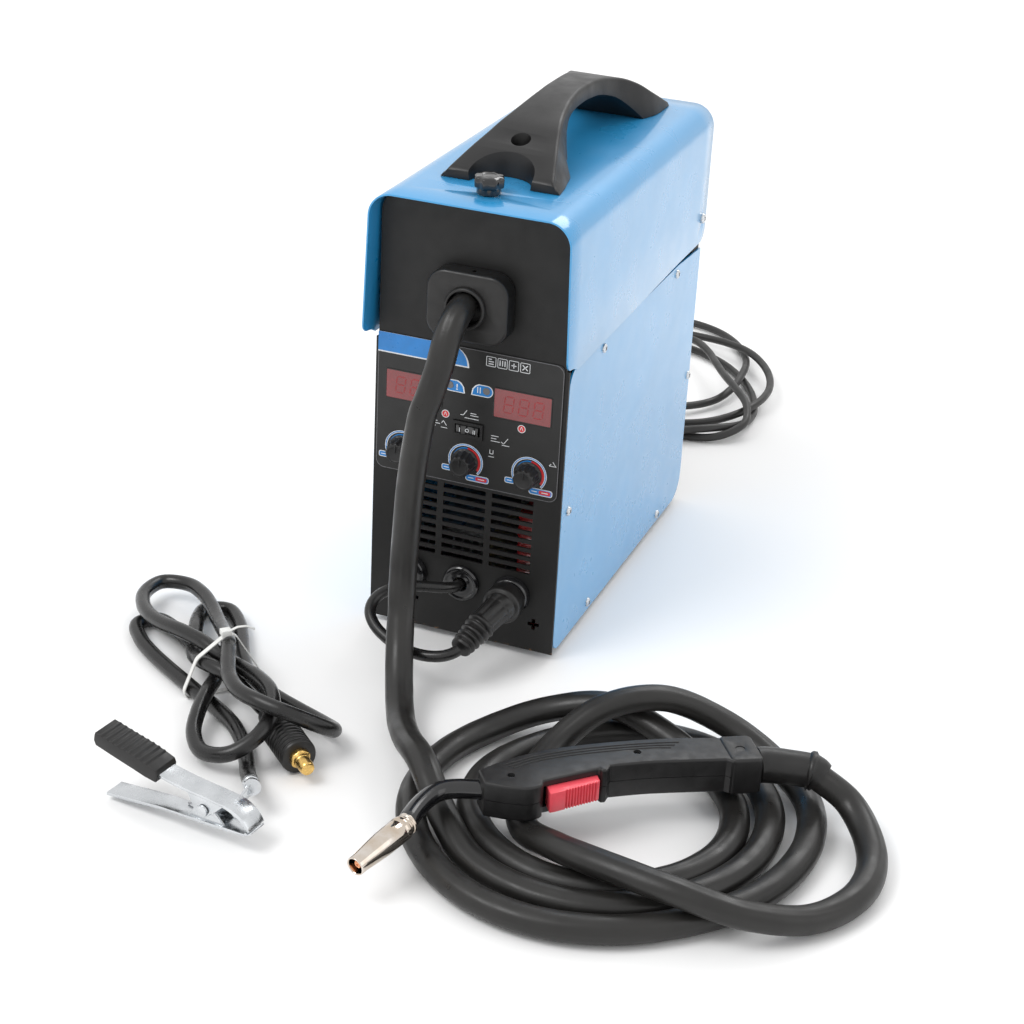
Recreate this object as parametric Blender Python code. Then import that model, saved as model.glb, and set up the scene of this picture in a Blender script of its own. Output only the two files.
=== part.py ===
# Portable inverter MIG welder with its torch, earth lead and mains lead.
# Metres, +Z up. The front panel faces -Y and the machine stands on the floor plane Z = 0,
# with the origin under the middle of its base.
import math

import bmesh
import bpy
from mathutils import Matrix, Vector

# ---- driving dimensions ------------------------------------------------------------------
MM = 0.001
HALF_W = 82.5 * MM  # half the casing's width
FRONT = -176.0 * MM  # outer face of the front panel
REAR = 174.0 * MM  # outer face of the rear panel
BASE_Z = 6.0 * MM  # underside of the base sheet, the height of the feet
TOP_Z = 385.0 * MM  # top of the cover
SPLIT_Z = 260.5 * MM  # lower edge of the hinged cover
SHEET = 1.5 * MM
FOLD_R = 20.0 * MM  # outer radius of the cover's folds
HOOD_Y = -195.0 * MM  # front edge of the cover, ahead of the panel
COVER_REAR_Y = 182.0 * MM
SPLAY = 5.0 * MM  # how far the cover's sides spring out at their free front corners
TOP_SPLAY = 1.8 * MM  # and at its front folds
PIVOT = (169.0 * MM, 284.0 * MM)  # Y, Z of the cover's pivot screws
SHELF_Z = 161.5 * MM
SPOOL_AXIS = (30.0 * MM, 272.0 * MM)
WIRE_Z = 303.5 * MM  # height of the wire line and of the torch gland
DRIVE_Y = -115.0 * MM
KNOB_X = (-57.0 * MM, -1.0 * MM, 54.0 * MM)
KNOB_Z = 166.0 * MM
SOCKET_Z = 55.0 * MM
FAN_Z = 85.0 * MM
HOSE_D = 20.4 * MM
POLARITY_D = 9.4 * MM
EARTH_D = 12.2 * MM
MAINS_D = 8.0 * MM

# routes of the free leads, in millimetres
TORCH_HOSE_ROUTE = [
    (-1.0, -191.5, 306.2), (-1.5, -200.0, 304.0), (-2.8, -210.0, 297.4), (-4.6, -218.6, 284.8),
    (-6.6, -226.0, 265.0), (-10.5, -234.5, 243.0), (-14.6, -240.1, 224.1), (-18.7, -245.8, 174.7),
    (-20.0, -250.3, 125.0), (-17.9, -259.7, 76.2), (-6.4, -287.1, 36.9), (13.1, -328.2, 17.6),
    (37.4, -370.9, 24.1), (67.2, -409.7, 32.5), (99.0, -446.0, 19.5), (135.0, -479.0, 11.3),
    (181.2, -496.8, 11.1), (230.5, -493.4, 11.1), (273.7, -469.1, 11.1), (304.3, -430.0, 11.1),
    (318.1, -382.4, 11.1), (312.6, -333.1, 11.1), (287.0, -290.9, 11.1), (244.8, -265.1, 11.3),
    (195.4, -263.6, 10.5), (151.9, -287.1, 10.5), (120.1, -325.4, 11.3), (103.2, -371.9, 11.1),
    (111.7, -420.5, 11.1), (143.4, -458.1, 11.4), (189.7, -475.3, 10.6), (238.2, -466.2, 10.5),
    (276.4, -434.6, 11.3), (294.4, -388.8, 11.1), (287.3, -340.0, 11.1), (256.5, -301.6, 13.1),
    (213.2, -280.1, 24.3), (164.9, -272.6, 32.5), (117.9, -282.7, 21.6), (82.0, -315.1, 11.8),
    (64.0, -361.2, 10.7), (63.2, -410.8, 10.6), (80.6, -457.3, 11.2), (112.6, -495.3, 11.1),
    (155.5, -520.3, 11.1), (204.7, -526.5, 11.1), (252.5, -513.3, 11.2), (292.9, -484.3, 10.6),
    (324.9, -446.1, 10.6), (343.9, -400.3, 11.2), (347.4, -350.8, 11.1), (333.0, -303.4, 11.1),
    (298.1, -269.2, 16.7), (253.0, -256.5, 31.9), (208.5, -270.5, 49.1), (168.5, -298.8, 45.5),
    (142.4, -335.6, 24.4), (138.1, -383.2, 12.2), (156.0, -429.2, 13.2), (191.8, -460.1, 26.9),
    (237.8, -477.6, 34.1), (287.2, -484.1, 33.5), (334.4, -474.0, 22.5), (373.1, -444.9, 12.2),
    (395.9, -401.2, 11.1), (393.4, -352.0, 12.2), (367.1, -312.2, 23.2), (334.4, -309.0, 41.5),
]
EARTH_LEAD_ROUTE = [
    (-42.6, -470.5, 19.8), (-55.7, -450.0, 11.0), (-68.6, -427.9, 7.6), (-83.1, -406.5, 7.1),
    (-100.9, -387.8, 7.1), (-122.0, -372.8, 6.8), (-144.5, -359.9, 6.8), (-166.9, -347.0, 7.3),
    (-189.2, -333.9, 7.4), (-211.0, -319.9, 7.5), (-231.2, -303.7, 7.4), (-246.3, -283.0, 7.3),
    (-234.2, -268.1, 7.2), (-210.3, -277.8, 7.1), (-188.4, -291.5, 6.9), (-167.6, -306.9, 8.4),
    (-150.0, -325.4, 12.1), (-138.5, -347.9, 17.0), (-132.0, -372.8, 20.0), (-126.1, -397.8, 17.3),
    (-116.8, -421.6, 13.4), (-99.0, -439.7, 12.5), (-75.0, -441.5, 18.8), (-60.3, -423.9, 28.9),
    (-61.7, -399.5, 35.8), (-74.1, -377.1, 37.8), (-92.8, -359.5, 35.4), (-114.5, -345.9, 31.8),
    (-138.2, -335.7, 30.9), (-161.9, -325.8, 34.2), (-186.0, -316.4, 33.1), (-208.9, -305.2, 28.4),
    (-229.7, -290.5, 24.0), (-247.0, -271.6, 20.6), (-258.4, -248.7, 18.1), (-256.1, -223.9, 16.8),
    (-232.4, -221.2, 18.8), (-210.7, -234.9, 21.4), (-192.6, -253.3, 23.0), (-176.3, -273.3, 25.1),
    (-160.8, -293.4, 29.9), (-146.3, -313.6, 37.1), (-133.1, -335.0, 43.5), (-121.3, -358.0, 44.3),
    (-108.0, -380.1, 44.2), (-89.8, -398.3, 46.0), (-66.2, -408.3, 47.4), (-41.2, -406.9, 42.7),
    (-22.7, -394.4, 30.6), (-21.4, -374.3, 16.5), (-40.5, -358.8, 10.2), (-64.5, -349.2, 9.5),
    (-88.9, -340.6, 10.5), (-111.8, -328.7, 11.3), (-130.6, -311.1, 11.1), (-144.9, -289.5, 10.1),
    (-157.5, -266.9, 9.0), (-171.4, -245.1, 8.1), (-190.1, -227.5, 7.3), (-207.6, -236.1, 7.8),
    (-201.3, -260.4, 13.2), (-190.8, -283.5, 18.8), (-179.8, -306.8, 20.4), (-167.1, -329.3, 22.1),
    (-149.2, -346.4, 29.0), (-125.5, -355.7, 29.9), (-102.0, -360.7, 20.0), (-79.9, -372.0, 15.0),
]
MAINS_LEAD_ROUTE = [
    (-61.9, 188.8, 30.7), (-60.3, 223.2, 21.0), (-47.9, 255.0, 11.0), (-21.2, 277.7, 6.0),
    (12.0, 291.1, 7.4), (45.2, 303.7, 12.6), (74.6, 323.7, 13.5), (92.6, 353.9, 8.6),
    (95.3, 389.3, 5.2), (87.7, 424.2, 5.0), (73.7, 457.2, 4.6), (54.2, 487.2, 4.5),
    (29.3, 513.0, 5.1), (-0.6, 532.6, 5.3), (-34.2, 544.7, 5.3), (-69.8, 547.8, 5.3),
    (-104.9, 541.2, 5.3), (-136.6, 524.7, 5.3), (-160.9, 498.6, 5.3), (-174.9, 465.8, 5.3),
    (-177.0, 430.2, 5.3), (-167.1, 396.0, 4.8), (-145.9, 367.4, 4.7), (-116.0, 347.9, 4.8),
    (-82.0, 336.4, 5.1), (-46.8, 329.8, 5.0), (-11.1, 327.4, 5.0), (24.4, 331.6, 5.5),
    (57.0, 346.0, 7.5), (82.0, 371.1, 11.2), (95.8, 403.8, 14.1), (98.1, 439.4, 14.6),
    (90.4, 474.3, 14.8), (74.6, 506.4, 15.4), (51.6, 533.8, 16.0), (22.7, 554.7, 13.6),
    (-10.1, 568.7, 10.2), (-45.3, 575.0, 8.0), (-80.9, 573.2, 7.0), (-115.1, 562.7, 6.7),
    (-145.5, 543.9, 6.7), (-170.0, 517.9, 6.8), (-186.2, 486.1, 6.8), (-192.4, 450.9, 7.3),
    (-186.3, 415.8, 9.1), (-167.8, 385.5, 12.4), (-139.3, 364.3, 13.3), (-105.5, 352.9, 10.0),
    (-70.1, 348.5, 7.7), (-34.3, 349.3, 9.4), (0.6, 356.9, 10.4), (30.8, 375.7, 9.1),
    (50.4, 405.4, 8.3), (58.7, 440.0, 10.6), (59.0, 475.7, 13.5), (53.7, 511.1, 10.7),
    (42.9, 545.0, 6.4), (25.5, 576.2, 5.4), (0.2, 601.4, 5.4), (-31.9, 616.9, 5.2),
    (-67.3, 620.9, 5.0), (-102.0, 612.7, 5.8), (-131.8, 593.2, 8.5), (-150.7, 563.6, 13.1),
    (-146.1, 530.1, 18.6), (-113.9, 518.4, 21.4), (-78.8, 525.3, 21.8), (-43.6, 531.6, 22.3),
    (-10.0, 521.4, 23.7), (13.7, 494.8, 25.0), (31.9, 463.9, 25.8), (50.6, 433.4, 26.1),
    (71.8, 404.5, 25.5), (91.8, 375.0, 22.4), (98.5, 341.6, 14.8), (75.9, 316.8, 6.1),
    (41.1, 308.9, 4.6), (5.5, 310.8, 7.8), (-29.0, 319.7, 11.7), (-60.6, 335.8, 15.8),
    (-85.9, 360.9, 16.3), (-99.3, 393.7, 13.8), (-97.7, 429.2, 11.7),
]
POLARITY_ROUTE = [
    (0.0, -178.0, 55.0), (-1.5, -186.0, 55.2), (-8.0, -194.0, 56.5), (-20.0, -201.0, 58.0),
    (-34.0, -208.0, 58.5), (-47.0, -217.0, 56.5), (-54.5, -228.0, 52.0), (-54.0, -240.0, 46.0),
    (-45.0, -250.0, 40.0), (-31.0, -257.5, 35.5), (-15.0, -262.5, 32.5), (2.0, -264.0, 31.5),
    (16.0, -262.0, 32.5), (25.0, -257.5, 34.6), (29.5, -252.3, 36.6),
]


# ---- helpers -----------------------------------------------------------------------------
def clear_scene():
    for item in list(bpy.data.objects):
        bpy.data.objects.remove(item, do_unlink=True)


def material(name, colour, rough, metal=0.0):
    found = bpy.data.materials.get(name)
    if found:
        return found
    made = bpy.data.materials.new(name)
    made.use_nodes = True
    shader = made.node_tree.nodes["Principled BSDF"]
    shader.inputs["Base Color"].default_value = (*colour, 1.0)
    shader.inputs["Roughness"].default_value = rough
    shader.inputs["Metallic"].default_value = metal
    return made


def blue_paint():
    return material("blue_powder_coat", (0.05, 0.36, 0.74), 0.32)


def black_paint():
    return material("black_powder_coat", (0.025, 0.024, 0.023), 0.5)


def black_plastic():
    return material("black_moulding", (0.03, 0.03, 0.032), 0.55)


def black_rubber():
    return material("black_rubber", (0.035, 0.034, 0.033), 0.6)


def zinc():
    return material("zinc_plate", (0.75, 0.76, 0.78), 0.3, 1.0)


def galvanised():
    return material("galvanised_sheet", (0.62, 0.63, 0.65), 0.45, 1.0)


def brass():
    return material("brass", (0.80, 0.56, 0.22), 0.28, 1.0)


def add_mesh(name, verts, faces, paint, origin=(0.0, 0.0, 0.0)):
    """Make an object of world-space vertices with its origin at the given point."""
    mesh = bpy.data.meshes.new(name)
    middle = Vector(origin)
    mesh.from_pydata([Vector(v) - middle for v in verts], [], faces)
    bm = bmesh.new()
    bm.from_mesh(mesh)
    bmesh.ops.remove_doubles(bm, verts=bm.verts, dist=1e-7)
    bmesh.ops.recalc_face_normals(bm, faces=bm.faces)
    bm.to_mesh(mesh)
    bm.free()
    mesh.update()
    made = bpy.data.objects.new(name, mesh)
    made.location = middle
    mesh.materials.append(paint)
    bpy.context.scene.collection.objects.link(made)
    return made


def box(name, low, high, paint, origin=(0.0, 0.0, 0.0), bevel=0.0, steps=2):
    (x0, y0, z0), (x1, y1, z1) = low, high
    verts = [(x, y, z) for x in (x0, x1) for y in (y0, y1) for z in (z0, z1)]
    faces = [(0, 1, 3, 2), (4, 6, 7, 5), (0, 4, 5, 1), (2, 3, 7, 6), (0, 2, 6, 4), (1, 5, 7, 3)]
    made = add_mesh(name, verts, faces, paint, origin)
    if bevel:
        round_edges(made, bevel, steps)
    return made


def round_edges(thing, width, steps=2, angle=40.0):
    mod = thing.modifiers.new("bevel", "BEVEL")
    mod.width = width
    mod.segments = steps
    mod.limit_method = "ANGLE"
    mod.angle_limit = math.radians(angle)
    mod.use_clamp_overlap = True
    return mod


AXES = {"X": (1, 2, 0), "Y": (2, 0, 1), "Z": (0, 1, 2)}


def place(axis, centre, a, b, along):
    """A point from two cross coordinates and one along the axis, about a centre."""
    out = [0.0, 0.0, 0.0]
    i, j, k = AXES[axis]
    out[i] = centre[0] + a
    out[j] = centre[1] + b
    out[k] = along
    return tuple(out)


def lathe(name, axis, centre, profile, paint, sides=32, origin=(0.0, 0.0, 0.0), wobble=None):
    """Turn a closed profile of (radius, position along the axis); centre is the two cross
    coordinates in the axis order. A profile that starts and ends on the axis is a solid."""
    verts = []
    rings = []
    for radius, along in profile:
        if radius <= 1e-9:
            rings.append([len(verts)])
            verts.append(place(axis, centre, 0.0, 0.0, along))
            continue
        ring = []
        for s in range(sides):
            t = 2 * math.pi * s / sides
            r = radius * (wobble(t, radius, along) if wobble else 1.0)
            ring.append(len(verts))
            verts.append(place(axis, centre, r * math.cos(t), r * math.sin(t), along))
        rings.append(ring)
    faces = []
    closed = profile[0][0] > 1e-9
    pairs = list(zip(rings[:-1], rings[1:]))
    if closed:
        pairs.append((rings[-1], rings[0]))
    for one, two in pairs:
        if len(one) == 1 and len(two) == 1:
            continue
        for s in range(sides):
            t = (s + 1) % sides
            if len(one) == 1:
                faces.append((one[0], two[s], two[t]))
            elif len(two) == 1:
                faces.append((one[s], one[t], two[0]))
            else:
                faces.append((one[s], one[t], two[t], two[s]))
    return add_mesh(name, verts, faces, paint, origin)


def rod(name, axis, centre, radius, start, end, paint, sides=24, origin=(0.0, 0.0, 0.0)):
    profile = [(0.0, start), (radius, start), (radius, end), (0.0, end)]
    return lathe(name, axis, centre, profile, paint, sides, origin)


def ring(name, axis, centre, inner, outer, start, end, paint, sides=32, origin=(0, 0, 0)):
    profile = [(inner, start), (outer, start), (outer, end), (inner, end)]
    return lathe(name, axis, centre, profile, paint, sides, origin)


def prism(name, axis, outline, start, end, paint, origin=(0.0, 0.0, 0.0)):
    """Extrude an outline of two cross coordinates, in the axis order, along the axis."""
    count = len(outline)
    verts = [place(axis, (0.0, 0.0), a, b, start) for a, b in outline]
    verts += [place(axis, (0.0, 0.0), a, b, end) for a, b in outline]
    faces = [tuple(range(count)), tuple(range(2 * count - 1, count - 1, -1))]
    for i in range(count):
        j = (i + 1) % count
        faces.append((i, j, count + j, count + i))
    return add_mesh(name, verts, faces, paint, origin)


def arc(cx, cy, radius, start, end, steps):
    """Points on an arc, in degrees."""
    out = []
    for i in range(steps + 1):
        t = math.radians(start + (end - start) * i / steps)
        out.append((cx + radius * math.cos(t), cy + radius * math.sin(t)))
    return out


def rounded(x0, y0, x1, y1, radii, steps=5):
    """A rectangle outline with its own radius at lower left, lower right, upper right and
    upper left."""
    r = radii if isinstance(radii, (tuple, list)) else (radii,) * 4
    out = []
    corners = [(x0, y0, 1, 1, 180), (x1, y0, -1, 1, 270), (x1, y1, -1, -1, 0), (x0, y1, 1, -1, 90)]
    for radius, (cx, cy, sx, sy, start) in zip(r, corners):
        if radius <= 0:
            out.append((cx, cy))
            continue
        out += arc(cx + sx * radius, cy + sy * radius, radius, start, start + 90, steps)
    return out


def combine(thing, other, how="DIFFERENCE"):
    """Cut, join or trim one object by another, kept as a hidden helper."""
    mod = thing.modifiers.new("bool", "BOOLEAN")
    mod.operation = how
    mod.solver = "EXACT"
    mod.object = other
    other.hide_render = True
    other.display_type = "WIRE"
    return thing


def joined(name, parts, paint, origin=(0.0, 0.0, 0.0)):
    """Several simple closed shapes in one mesh, to be used as one cutter: they don't touch."""
    verts = []
    faces = []
    for part in parts:
        start = len(verts)
        verts += [part.location + v.co for v in part.data.vertices]
        faces += [tuple(start + i for i in p.vertices) for p in part.data.polygons]
        bpy.data.objects.remove(part, do_unlink=True)
    return add_mesh(name, verts, faces, paint, origin)


def sample(route, count):
    """A smooth run of points through a route given in millimetres, evenly spaced."""
    pts = [Vector(p) * MM for p in route]
    pts = [pts[0] * 2 - pts[1]] + pts + [pts[-1] * 2 - pts[-2]]
    fine = []
    for i in range(1, len(pts) - 2):
        a, b, c, d = pts[i - 1:i + 3]
        for k in range(12):
            t = k / 12
            fine.append(0.5 * (2 * b + (c - a) * t + (2 * a - 5 * b + 4 * c - d) * t * t
                               + (3 * b - a - 3 * c + d) * t ** 3))
    fine.append(pts[-2].copy())
    run = [0.0]
    for a, b in zip(fine[:-1], fine[1:]):
        run.append(run[-1] + (b - a).length)
    out = []
    j = 0
    for i in range(count):
        want = run[-1] * i / (count - 1)
        while j < len(run) - 2 and run[j + 1] < want:
            j += 1
        t = (want - run[j]) / max(run[j + 1] - run[j], 1e-12)
        out.append(fine[j].lerp(fine[j + 1], min(1.0, max(0.0, t))))
    return out


def cord(name, route, diameter, count, paint, resolution=2):
    curve = bpy.data.curves.new(name, "CURVE")
    curve.dimensions = "3D"
    curve.bevel_depth = diameter / 2
    curve.bevel_resolution = resolution
    curve.use_fill_caps = True
    curve.resolution_u = 1
    curve.render_resolution_u = 0
    points = sample(route, count)
    line = curve.splines.new("POLY")
    line.points.add(len(points) - 1)
    for slot, point in zip(line.points, points):
        slot.co = (*point, 1.0)
    curve.materials.append(paint)
    made = bpy.data.objects.new(name, curve)
    bpy.context.scene.collection.objects.link(made)
    return made


def sweep(name, path, radii, paint, sides=16, origin=(0.0, 0.0, 0.0), squash=1.0):
    """A closed round bar along a path in metres with a radius at each point."""
    pts = [Vector(p) for p in path]
    tangents = []
    for i in range(len(pts)):
        a = pts[max(0, i - 1)]
        b = pts[min(len(pts) - 1, i + 1)]
        tangents.append((b - a).normalized())
    side = tangents[0].cross(Vector((0, 0, 1)))
    if side.length < 0.1:
        side = tangents[0].cross(Vector((0, 1, 0)))
    side.normalize()
    verts = []
    for point, along, radius in zip(pts, tangents, radii):
        side = (side - along * side.dot(along)).normalized()
        up = along.cross(side)
        for s in range(sides):
            t = 2 * math.pi * s / sides
            verts.append(point + side * (radius * math.cos(t)) + up * (radius * squash * math.sin(t)))
    count = len(pts)
    faces = [tuple(range(sides)), tuple(range((count - 1) * sides, count * sides))]
    for i in range(count - 1):
        for s in range(sides):
            t = (s + 1) % sides
            faces.append((i * sides + s, i * sides + t, (i + 1) * sides + t, (i + 1) * sides + s))
    return add_mesh(name, verts, faces, paint, origin)


# ---- casing ------------------------------------------------------------------------------
def foot(name, x, y):
    profile = [(0.0, 0.0), (8.0 * MM, 0.0), (9.5 * MM, 2.0 * MM), (8.8 * MM, 5.7 * MM),
               (0.0, 5.7 * MM)]
    return lathe(name, "Z", (x, y), profile, black_rubber(), 16)


def base_tray():
    lo = BASE_Z
    hi = lo + SHEET
    half = 78.3 * MM
    lip = 22.0 * MM
    outline = [(-half, lo), (half, lo), (half, lip), (half - SHEET, lip), (half - SHEET, hi),
               (-half + SHEET, hi), (-half + SHEET, lip), (-half, lip)]
    # cross order for an extrusion along Y is (Z, X)
    return prism("base_tray", "Y", [(z, x) for x, z in outline], -173.0 * MM, 171.7 * MM,
                 galvanised())


def front_outline():
    low = 82.5 * MM
    high = 80.3 * MM
    step = 259.0 * MM
    top = 382.5 * MM
    r = 17.5 * MM
    out = [(-low, BASE_Z), (low, BASE_Z), (low, step), (high, step + 0.6 * MM)]
    out += arc(high - r, top - r, r, 0, 90, 5)
    out += arc(-high + r, top - r, r, 90, 180, 5)
    out += [(-high, step + 0.6 * MM), (-low, step)]
    return out


def front_panel():
    body = prism("front_panel", "Y", [(z, x) for x, z in front_outline()], FRONT, FRONT + 2.0 * MM,
                 black_paint())
    for sign in (-1, 1):
        a, b = sorted((sign * 79.0 * MM, sign * 80.5 * MM))
        flange = box("cut_front_flange", (a, FRONT + 1.0 * MM, 10 * MM), (b, -150 * MM, 256 * MM),
                     black_paint())
        combine(body, flange, "UNION")
    top = box("cut_front_top_flange", (-45 * MM, FRONT + 1 * MM, 380.8 * MM),
              (45 * MM, -142 * MM, 382.3 * MM), black_paint())
    combine(body, top, "UNION")
    holes = []
    y0 = FRONT - 3 * MM
    y1 = FRONT + 6 * MM
    for x0, x1 in ((-61.5, -25.0), (-19.5, 17.5), (23.0, 59.0)):
        for row in range(9):
            z = (140.0 - 7.75 * row) * MM
            holes.append(box("slot", (x0 * MM, y0, z - 2.1 * MM), (x1 * MM, y1, z + 2.1 * MM),
                             black_paint()))
    for x in KNOB_X:
        holes.append(rod("h", "Y", (KNOB_Z, x), 4.0 * MM, y0, y1, black_paint(), 16))
    for x, r in ((-47.5, 12.5), (0.0, 11.0), (44.5, 12.5)):
        holes.append(rod("h", "Y", (SOCKET_Z, x * MM), r * MM, y0, y1, black_paint(), 24))
    holes.append(rod("h", "Y", (WIRE_Z, 0.0), 12.0 * MM, y0, y1, black_paint(), 24))
    holes.append(box("h", (-12.3 * MM, y0, 188.8 * MM), (12.3 * MM, y1, 199.2 * MM), black_paint()))
    plus = [(-1.6, -5), (1.6, -5), (1.6, -1.6), (5, -1.6), (5, 1.6), (1.6, 1.6), (1.6, 5),
            (-1.6, 5),
            (-1.6, 1.6), (-5, 1.6), (-5, -1.6), (-1.6, -1.6)]
    plus = [((z + 31.0) * MM, (x + 65.0) * MM) for x, z in plus]
    holes.append(prism("h", "Y", plus, y0, y1, black_paint()))
    holes.append(box("h", (-48.5 * MM, y0, 29.4 * MM), (-38.5 * MM, y1, 32.6 * MM), black_paint()))
    combine(body, joined("cut_front_holes", holes, black_paint()))
    screw = rod("cut_front_screw", "Z", (0.0, -155 * MM), 4.2 * MM, 375 * MM, 388 * MM,
                black_paint(), 16)
    return combine(body, screw)


def rear_panel():
    high = 80.3 * MM
    r = 17.5 * MM
    top = 382.5 * MM
    out = [(-high, 8 * MM), (high, 8 * MM)]
    out += arc(high - r, top - r, r, 0, 90, 5)
    out += arc(-high + r, top - r, r, 90, 180, 5)
    body = prism("rear_panel", "Y", [(z, x) for x, z in out], REAR - SHEET, REAR, black_paint())
    for sign in (-1, 1):
        a, b = sorted((sign * 78.8 * MM, sign * 80.3 * MM))
        flange = box("cut_rear_flange", (a, 152 * MM, 24 * MM), (b, REAR - 0.7 * MM, 360 * MM),
                     black_paint())
        combine(body, flange, "UNION")
        combine(body, rod("cut_rear_pivot", "X", PIVOT, 2.6 * MM, min(a, b) - 3 * MM,
                          max(a, b) + 3 * MM, black_paint(), 16))
    holes = []
    for row in range(8):
        z = FAN_Z + (row - 3.5) * 9.6 * MM
        half = math.sqrt(max(0.0, (40.0 * MM) ** 2 - (z - FAN_Z) ** 2))
        if half > 6 * MM:
            holes.append(box("h", (-half, 165 * MM, z - 2.4 * MM), (half, 180 * MM, z + 2.4 * MM),
                             black_paint()))
    holes.append(box("h", (29.5 * MM, 165 * MM, 132.9 * MM), (50.5 * MM, 180 * MM, 160.1 * MM),
                     black_paint()))
    holes.append(rod("h", "Y", (30 * MM, -62 * MM), 7.6 * MM, 165 * MM, 180 * MM, black_paint(),
                     20))
    combine(body, joined("cut_rear_holes", holes, black_paint()))
    return body


def side_outline():
    """The lower side panel in Y and Z."""
    y0 = -173.2 * MM
    y1 = 173.6 * MM
    z0 = 6.5 * MM
    z1 = 258.7 * MM
    out = arc(y0 + 12 * MM, z0 + 12 * MM, 12 * MM, 180, 270, 4)
    out += arc(y1 - 22 * MM, z0 + 22 * MM, 22 * MM, 270, 360, 6)
    out += [(y1, 254.5 * MM), (106 * MM, z1)]
    out += arc(y0 + 16 * MM, z1 - 16 * MM, 16 * MM, 90, 180, 5)
    return out


def side_panel(name, sign):
    a, b = sorted((sign * (HALF_W - SHEET), sign * HALF_W))
    return prism(name, "X", side_outline(), a, b, blue_paint())


def cover():
    """One sheet folded into an upside-down U, splayed a little at its free front corners."""
    arch = []
    inner = []
    w = HALF_W
    z = TOP_Z
    arch += [(-w, SPLIT_Z), (-w, 0.5 * (SPLIT_Z + z - FOLD_R))]
    arch += arc(-w + FOLD_R, z - FOLD_R, FOLD_R, 180, 90, 6)
    arch += arc(w - FOLD_R, z - FOLD_R, FOLD_R, 90, 0, 6)
    arch += [(w, 0.5 * (SPLIT_Z + z - FOLD_R)), (w, SPLIT_Z)]
    w -= SHEET
    z -= SHEET
    r = FOLD_R - SHEET
    inner += [(-w, SPLIT_Z), (-w, 0.5 * (SPLIT_Z + z - r))]
    inner += arc(-w + r, z - r, r, 180, 90, 6)
    inner += arc(w - r, z - r, r, 90, 0, 6)
    inner += [(w, 0.5 * (SPLIT_Z + z - r)), (w, SPLIT_Z)]
    rows = 6
    count = len(arch)
    verts = []
    for layer in (arch, inner):
        for i in range(rows):
            t = i / (rows - 1)
            y = HOOD_Y + (COVER_REAR_Y - HOOD_Y) * t
            for x, zz in layer:
                drop = max(0.0, (TOP_Z - FOLD_R - zz) / (TOP_Z - FOLD_R - SPLIT_Z))
                push = (TOP_SPLAY + (SPLAY - TOP_SPLAY) * drop) * max(0.0, 1.0 - t * 1.25)
                verts.append((x + math.copysign(push, x), y, zz))
    faces = []
    half = rows * count
    for i in range(rows - 1):
        for j in range(count - 1):
            a = i * count + j
            faces.append((a, a + 1, a + count + 1, a + count))
            a += half
            faces.append((a, a + 1, a + count + 1, a + count))
        for j in (0, count - 1):
            a = i * count + j
            faces.append((a, a + count, a + count + half, a + half))
    for i in (0, rows - 1):
        for j in range(count - 1):
            a = i * count + j
            faces.append((a, a + 1, a + 1 + half, a + half))
    body = add_mesh("upper_cover", verts, faces, blue_paint(), (0.0, PIVOT[0], PIVOT[1]))
    front = HOOD_Y
    low = SPLIT_Z
    r = 9 * MM
    lift = low + 5.5 * MM
    wedge = [(front - 5 * MM, low - 5 * MM), (-165 * MM, low - 5 * MM), (-169 * MM, low - 1 * MM)]
    wedge += [(-179 * MM, low + 4 * MM), (front + r, lift)]
    wedge += arc(front + r, lift + r, r, 270, 180, 5)[1:] + [(front - 5 * MM, lift + r)]
    combine(body, prism("cut_cover_front", "X", wedge, -0.1, 0.1, blue_paint()))
    r = 13 * MM
    rear = COVER_REAR_Y
    wedge = [(rear + 5 * MM, low - 5 * MM), (rear + 5 * MM, low + r)]
    wedge += arc(rear - r, low + r, r, 0, -90, 6) + [(rear - r, low - 5 * MM)]
    combine(body, prism("cut_cover_rear", "X", wedge, -0.1, 0.1, blue_paint()))
    combine(body, rod("cut_cover_pivot", "X", PIVOT, 2.6 * MM, -0.1, 0.1, blue_paint(), 16))
    holes = [rod("h", "Z", (0.0, -155 * MM), 3.6 * MM, 370 * MM, 400 * MM, blue_paint(), 16)]
    combine(body, joined("cut_cover_screw", holes, blue_paint()))
    return body


HANDLE_STATIONS = [
    # Y, half width at the top, half width at the base, top Z (millimetres)
    (-133.0, 46.0, 50.0, 391.5), (-131.5, 45.2, 50.0, 393.4), (-116.0, 40.4, 48.0, 400.5),
    (-101.0, 35.7, 45.0, 406.9), (-86.0, 31.0, 41.7, 412.7), (-71.0, 26.6, 35.0, 418.6),
    (-56.0, 22.9, 27.5, 422.9), (-41.0, 20.1, 22.6, 426.4), (-26.0, 18.0, 20.2, 429.1),
    (-11.0, 16.6, 19.0, 430.9), (4.0, 15.9, 18.3, 432.1), (19.0, 15.9, 18.4, 432.0),
    (34.0, 16.3, 18.8, 431.6), (49.0, 17.1, 19.8, 430.6), (64.0, 19.3, 22.0, 428.4),
    (79.0, 23.0, 26.5, 425.4), (94.0, 29.0, 33.0, 421.0), (109.0, 36.0, 40.5, 414.0),
    (124.0, 41.0, 45.0, 405.5), (142.0, 44.3, 46.0, 396.5), (158.0, 45.0, 45.8, 388.6),
    (160.5, 44.0, 45.3, 386.6),
]


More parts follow.
